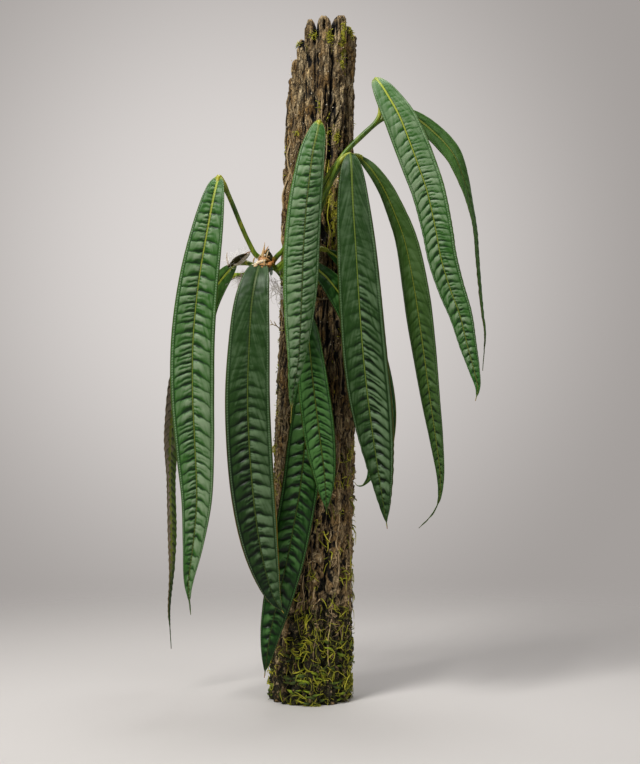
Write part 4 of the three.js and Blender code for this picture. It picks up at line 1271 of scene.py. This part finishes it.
def worms(rng, count, low, high, points, step, lift):
    """Threads that wander over the post's surface"""
    paths = []
    for _ in range(count):
        d, z = rng.uniform(-180, 180), low + (high - low) * rng.random() ** 1.3
        heading = rng.uniform(0, 2 * math.pi)
        bend = rng.uniform(-0.5, 0.5)
        path = []
        for _ in range(points):
            path.append(on_post(d, z, lift))
            heading += bend + rng.normal(0, 0.35)
            z = max(z + step * math.cos(heading), 3)
            d += step * 0.7 * math.sin(heading)
        paths.append(np.array(path))
    return paths


FIBRE_COUNT = 170
DOT_COUNT = 430
WORM_TAPER = [0.5, 0.9, 1, 1, 1, 1, 1, 0.9, 0.7, 0.4]
TWIG_STEPS = 8


def add_fibres(finish):
    """Woody fibres that run along the post, half loose from it, curling ones low on it, and twigs"""
    rng = np.random.default_rng(21)
    paths = []
    radii = []
    for _ in range(FIBRE_COUNT):
        degrees = rng.uniform(-180, 180)
        length = rng.uniform(40, 150)
        start = rng.uniform(40, 860 - length)
        points = int(length / 5)
        drift = rng.uniform(-0.06, 0.06)
        wobble = rng.uniform(1.0, 3.2)
        phase = rng.uniform(0, 6.3)
        path = []
        for k in range(points):
            z = start + length * k / (points - 1)
            d = degrees + drift * (z - start) + wobble * math.sin(z / 14 + phase)
            path.append(on_post(d, z, 0.5))
        path = np.array(path)
        path[1:-1, :2] = (path[:-2, :2] + 2 * path[1:-1, :2] + path[2:, :2]) / 4
        paths.append(path)
        ends = np.minimum(np.arange(points), np.arange(points)[::-1])
        radii.append(rng.uniform(0.6, 1.3) * np.clip(ends / 2, 0.35, 1))
    for path in worms(rng, count=460, low=95, high=430, points=len(WORM_TAPER), step=2.6, lift=0.6):
        paths.append(path)
        radii.append(rng.uniform(0.45, 1.15) * np.array(WORM_TAPER))
    for points in TWIGS:
        paths.append(route(points, TWIG_STEPS)[0])
        radii.append(np.linspace(0.9, 0.4, TWIG_STEPS))
    mesh = tubes("loose_fibres", paths, radii)
    tints = rng.random(len(paths))
    tints[-len(TWIGS):] = 0.95
    set_attribute(mesh, "tint", np.repeat(tints, [4 * len(p) for p in paths]))
    add_piece("loose_fibres", mesh, [finish])


def add_dots(finish):
    """Tiny pale spore cases on the upper half of the post"""
    rng = np.random.default_rng(41)
    meshes = []
    for _ in range(DOT_COUNT):
        place = on_post(rng.uniform(-180, 180), rng.uniform(480, 900), 0.3)
        bm = bmesh.new()
        bmesh.ops.create_icosphere(bm, subdivisions=1, radius=rng.uniform(0.5, 1.05) * MM)
        bmesh.ops.translate(bm, vec=Vector(place) * MM, verts=bm.verts)
        meshes.append(to_mesh(bm, "dot"))
    mesh = joined("pale_dots", meshes)
    spread_tint(mesh, len(meshes), 42)
    shade_smooth(mesh)
    add_piece("pale_dots", mesh, [finish])


# Stem, roots and crown
ROOT_LIFT = 1.2  # of a root's middle line off the post


def root_path(path):
    return np.array([on_post(d, z, ROOT_LIFT) for d, z in path])


def stem_finish():
    """Green with dark scars where it is young, brown on its roots and lower down"""
    finish = Finish("stem_bark", 0.7)
    brown = finish.mix(finish.grain(300, 4), paint("#2f2a14"), paint("#94805a"))
    green = finish.ramp(finish.grain(160, 4), [(0.36, "#28330a"), (0.44, "#6b9020"), (0.62, "#c0ce50")])
    young = finish.between(finish.part_of(finish.place, "Z"), 0.552, 0.572)
    young = finish.times(young, finish.between(finish.own("tint"), 0.6, 0.5))
    finish.colour(finish.mix(young, brown, green))
    finish.relief(finish.grain(500, 4), 0.4, 0.0008)
    return finish.material


STEM_STEPS = 60


def add_stem(finish):
    path, _ = route(STEM_PATH, STEM_STEPS)
    along = np.linspace(0, 1, STEM_STEPS)
    radii = np.interp(along, np.linspace(0, 1, len(STEM_RADII)), STEM_RADII)
    radii = radii - 0.7 + 0.7 * np.abs(np.sin(along * 22)) ** 6
    meshes = [tubes("stem", [path], [radii], 4)]
    set_attribute(meshes[0], "tint", np.full(len(meshes[0].vertices), 0.3))
    # Each root leaves the stem about as high as its own first place
    starts, _ = route(STEM_PATH, 50)
    for places in ROOTS:
        near = starts[int(2 + 10 * float(smooth((places[0][1] - 505) / 45)))]
        root, _ = route([near, *root_path(places)], STEM_STEPS)
        mesh = tubes("root", [root], [ROOT_RADIUS * (1.15 - 0.75 * along)], 2)
        set_attribute(mesh, "tint", np.full(len(mesh.vertices), 0.75))
        meshes.append(mesh)
    add_piece("creeping_stem", joined("creeping_stem", meshes), [finish], ["stem"])


FRONT = (0, -1, 0.25)
UP_FRONT = (0, -0.4, 1)
# The dried sheaths round the growing tip, as strips: [points, widths, facing, cup, tint]
SHEATH_STRIPS = [
    # The tan sheath with its long spike, and a short spike beside it
    ([(-60, -60, 597), (-62, -64, 606), (-62.8, -64, 613), (-61.5, -62, 620), (-60.6, -60, 628)],
     (5, 5.5, 4.5, 1.9, 0.4), FRONT, 0.5, 0.82),
    ([(-60, -61, 608), (-60, -63, 614), (-58, -62, 618), (-55.6, -60, 623)],
     (3, 4, 2, 0.5), FRONT, 0.3, 0.74),
    # The dark green sheaths inside it, with pale edges
    ([(-55, -60, 596), (-57, -67, 604), (-57, -66, 612), (-55, -62, 619)],
     (6, 8, 7, 1.5), FRONT, 0.6, 0.12),
    ([(-52, -60, 596), (-52, -67, 602), (-53, -65, 610), (-55, -61, 616)], (6, 8, 6, 1), FRONT, 0.6, 0.04),
    ([(-50, -60, 594), (-50, -65, 601), (-50.5, -64, 606), (-52, -61, 610)], (6, 7.5, 6, 2), FRONT, 0.7, 0),
    ([(-60, -58, 596), (-64, -52, 606), (-63, -50, 614)], (7, 9, 2), (-0.6, 0.6, 0.3), 0.5, 0.5),
    ([(-54, -55, 596), (-54, -49, 606), (-56, -49, 615)], (8, 10, 2), (0.4, 1, 0.2), 0.5, 0.45),
    ([(-58, -68, 606), (-57, -69, 611), (-55, -67, 617)], (1, 2, 0.4), FRONT, 0.2, 0.9),
    ([(-54, -68, 599), (-57, -69, 603), (-59, -68, 607)], (0.6, 1.6, 0.6), FRONT, 0.2, 0.7),
    # Collar of straps over the petiole of the leaf in front
    ([(-52, -58, 604), (-58, -70, 606), (-62, -84, 605), (-64, -97, 599)],
     (8, 11, 12, 8), UP_FRONT, 0.5, 0.72),
    ([(-56, -60, 603), (-64, -72, 604), (-69, -86, 601), (-73, -97, 595)],
     (5, 7, 6, 2), (-0.4, -0.4, 1), 0.5, 0.9),
    ([(-48, -60, 600), (-50, -74, 601), (-52, -88, 598), (-54, -98, 592)],
     (5, 7, 7, 4), (0.3, -0.5, 1), 0.5, 0.62),
    ([(-76.5, -97, 594), (-70, -100, 596), (-64, -101, 598.5), (-58, -98, 600)],
     (1.6, 3.4, 4, 3), FRONT, 0.3, 0.93),
    ([(-67, -100, 595), (-61, -102, 594.6), (-55, -99, 594), (-50, -88, 595)],
     (2, 3.8, 4.2, 3), FRONT, 0.3, 0.68),
    ([(-59, -102, 592.5), (-59.7, -102.5, 596.5), (-60.5, -101, 601)], (3.4, 2.3, 0.4), FRONT, 0.2, 0.8),
    ([(-69, -100, 594), (-72.5, -100, 592.3), (-75, -98, 589.5)], (2.6, 3, 1), FRONT, 0.2, 0.88),
    ([(-64, -101, 592), (-62, -102, 590.6), (-63, -102, 588.6)], (2, 2.2, 0.6), FRONT, 0.2, 0.7),
    # Beside the foot of the long petiole on the left
    ([(-73, -61, 609), (-75.5, -62, 604), (-76.5, -62, 598.5)], (0.8, 2.6, 1.4), FRONT, 0.2, 0.9),
    ([(-71, -62, 605), (-67.5, -63, 608.5), (-64.5, -62, 613)], (1.4, 0.9, 0.3), FRONT, 0.2, 0.92),
    # Withered leaf at the left, and the spike at its end
    ([(-112, -40, 596), (-106, -48, 601), (-99, -53, 606), (-92, -56, 610), (-85, -58, 612.5)],
     (2, 8.5, 9.5, 7, 1), (-0.2, -1, 0.4), 0.4, 0.17),
    ([(-103, -50, 598), (-96, -53, 601), (-89, -56, 607), (-81, -58, 613)],
     (2, 7.5, 8, 2), (0.1, -1, 0.2), 0.3, 0.97),
    ([(-88, -58, 612), (-81, -60, 614.6), (-75, -61, 614)], (1, 1.5, 0.8), FRONT, 0.2, 0.6),
    ([(-111, -31, 598), (-113, -35, 606), (-113.5, -37, 612), (-112.6, -37, 617)],
     (3, 2.2, 1.3, 0.4), FRONT, 0.2, 0.85),
]
SHEATH_SPECKS = [((-60.2, -69, 609.4), (1.2, 1, 1.4), 1), ((-54.8, -70, 607.6), (1, 1, 1), 0.88)]
BUDS = [((-52.9, -74, 591), (4.4, 4.2, 5.4), 0.3), ((-51.5, -76, 585.5), (2.2, 2.4, 4), 1)]


def sheath_finish():
    """Dry sheaths, from the darkest green-brown over orange-brown to pale tan, with pale edges"""
    finish = Finish("dry_sheath", 0.7)
    streak = finish.times(finish.minus(finish.grain(520, 4), 0.5), 0.34)
    share = finish.plus(finish.own("tint"), streak)
    share = finish.plus(share, finish.between(finish.own("edge"), 0.6, 1, 0, 0.14))
    finish.colour(finish.ramp(share, [
        (0, "#1c200a"), (0.22, "#3c3814"), (0.45, "#6e4a22"), (0.62, "#b0743c"), (0.8, "#c39a68"),
        (0.92, "#d8bd8c"), (1, "#f2ecdf")]))
    finish.relief(finish.grain(900, 4), 0.4, 0.0005)
    finish.shader.inputs["Specular IOR Level"].default_value = 0.15
    return finish.material


HAIR_STEPS = 9


def hairs(name, seed, start, end, count, spread, heading, length, radius, droop, finish,
          turning=(0.05, 0.6)):
    """Fine curling hairs that start along a line"""
    rng = np.random.default_rng(seed)
    starts = lerp(np.array(start, float), np.array(end, float), rng.random((count, 1)))
    starts = starts + rng.normal(0, spread, (count, 3))
    paths = curls(rng, starts, np.array(heading, float), rng.uniform(*length, count), HAIR_STEPS, turning,
                  droop)
    mesh = tubes(name, paths, rng.uniform(*radius, (count, 1)) * np.linspace(1, 0.5, HAIR_STEPS))
    spread_tint(mesh, count, seed)
    add_piece(name, mesh, [finish])


def add_crown():
    strips = ribbons("crown_sheaths", SHEATH_STRIPS, 10, 0.5)
    sheaths = joined("crown_sheaths", [strips, balls("sheath_specks", SHEATH_SPECKS)])
    add_piece("crown_sheaths", sheaths, [sheath_finish()], ["sheaths"])
    add_piece("crown_buds", balls("crown_buds", BUDS),
              [thread_finish("bud_green", "#3c584b", "#b4c6be", 0.35)])
    white = thread_finish("white_hairs", "#cfcac3", "#f5f2ee", 0.7, 0.35)
    grey = thread_finish("root_hairs", "#6a4c30", "#e6e0d8", 0.6, 0.2)
    brown = thread_finish("brown_hairs", "#7a4630", "#e6dcd2", 0.7, 0.12)
    hairs("crown_white_hairs", 33, (-112, -36, 602), (-84, -50, 615), count=380, spread=2.8,
          heading=(-0.2, 0.3, 0.5), length=(6, 17), radius=(0.07, 0.13), droop=0.02, finish=white)
    hairs("crown_root_hairs", 34, (-54, -66, 582), (-38, -66, 560), count=40, spread=2,
          heading=(0, -0.1, -1), length=(20, 46), radius=(0.25, 0.45), droop=0.05, finish=grey,
          turning=(0.15, 0.8))
    hairs("crown_brown_hairs", 35, (-84, -24, 586), (-101, -8, 584), count=90, spread=2,
          heading=(-0.2, -0.1, -1), length=(8, 22), radius=(0.14, 0.26), droop=0.1, finish=brown)


# Floor, lights and camera
def floor_finish():
    finish = Finish("pale_floor", 0.9)
    finish.colour(paint("#d6d2cf"))
    away = finish.nodes.new("ShaderNodeVectorMath")
    away.operation = "LENGTH"
    finish.put(finish.place, away.inputs[0])
    fade = finish.between(away.outputs["Value"], 0.35, 1.5)
    clear = finish.nodes.new("ShaderNodeBsdfTransparent")
    blend = finish.nodes.new("ShaderNodeMixShader")
    finish.put(fade, blend.inputs[0])
    finish.put(finish.shader.outputs[0], blend.inputs[1])
    finish.put(clear.outputs[0], blend.inputs[2])
    finish.put(blend.outputs[0], finish.output.inputs["Surface"])
    return finish.material


def add_floor():
    bm = bmesh.new()
    bmesh.ops.create_circle(bm, cap_ends=True, radius=FLOOR_RADIUS, segments=64)
    floor = link("floor", to_mesh(bm, "floor"))
    floor.data.materials.append(floor_finish())


def add_backdrop():
    """A plain grey surround that the camera sees and that sends no light onto the plant; a painted pool of
    light lies round BACKDROP_GLOW
    """
    bm = bmesh.new()
    bmesh.ops.create_uvsphere(bm, u_segments=48, v_segments=24, radius=BACKDROP_RADIUS)
    backdrop = link("backdrop", to_mesh(bm, "backdrop"))
    finish = Finish("plain_backdrop", 1)
    finish.shader.inputs["Base Color"].default_value = (0, 0, 0, 1)
    finish.shader.inputs["Specular IOR Level"].default_value = 0
    away = finish.nodes.new("ShaderNodeVectorMath")
    away.operation = "DISTANCE"
    finish.put(finish.place, away.inputs[0])
    away.inputs[1].default_value = BACKDROP_GLOW
    share = finish.between(away.outputs["Value"], 0.7, 4.1)
    finish.put(finish.mix(share, paint("#dad5d2"), paint("#a39e9b")),
               finish.shader.inputs["Emission Color"])
    finish.shader.inputs["Emission Strength"].default_value = 1
    backdrop.data.materials.append(finish.material)
    backdrop.visible_diffuse = False
    backdrop.visible_glossy = False
    backdrop.visible_shadow = False


def add_light(name, place, aim, size, power, colour=(1, 1, 1)):
    light = bpy.data.lights.new(name, "AREA")
    light.shape = "DISK"
    light.size = size
    light.energy = power
    light.color = colour
    lamp = link(name, light)
    lamp.location = place
    lamp.rotation_euler = (Vector(aim) - Vector(place)).to_track_quat("-Z", "Y").to_euler()


def add_lights():
    world = bpy.data.worlds.new("studio")
    world.use_nodes = True
    background = world.node_tree.nodes["Background"]
    background.inputs["Color"].default_value = paint(BACKDROP_COLOUR)
    background.inputs["Strength"].default_value = 0.32
    bpy.context.scene.world = world
    add_light("key_softbox", (-0.95, -1.25, 2.1), (0, 0, 0.5), 0.7, 43, (1, 0.99, 0.965))
    add_light("fill_softbox", (1.3, -1.3, 0.9), (0, 0, 0.45), 1.2, 6)
    add_light("top_softbox", (0.1, 0.3, 2.1), (0, 0, 0.4), 1.0, 16)


def add_camera():
    data = bpy.data.cameras.new("camera")
    data.lens = CAMERA_LENS
    data.sensor_width = CAMERA_SENSOR
    data.dof.use_dof = False
    camera = link("camera", data)
    camera.location = CAMERA_PLACE
    camera.rotation_euler = (math.pi / 2, 0, 0)
    bpy.context.scene.camera = camera


def build():
    bpy.context.scene.view_settings.view_transform = "Standard"
    add_camera()
    add_lights()
    add_floor()
    add_backdrop()
    finishes = {kind: leaf_finish(kind) for kind in LEAF_FINISHES}
    finishes["under"] = underside_finish("leaf_underside", "#557240", "#6d8a54", 0.3, "#7c8c46", 1.4,
                                         "#557240")
    finishes["aged_under"] = underside_finish("leaf_underside_aged", "#64862e", "#c8b29c", 0.75, "#a4b248",
                                              4, "#35501a")
    finishes["petiole"] = petiole_finish()
    add_leaves(finishes)
    add_piece("weathered_post", post_mesh(), [wood_finish()], ["post"])
    add_fibres(thread_finish("woody_fibres", "#33271a", "#bfa67c"))
    add_dots(thread_finish("pale_dots", "#c9b48a", "#f0e6d2"))
    add_moss(moss_finish("moss_threads", ("#151503", "#5c5f0c", "#a6a51e", "#dcd44a")),
             moss_finish("moss_leaves", ("#0e1604", "#4c600a", "#93a416", "#d6d83c")))
    add_stem(stem_finish())
    add_crown()


build()
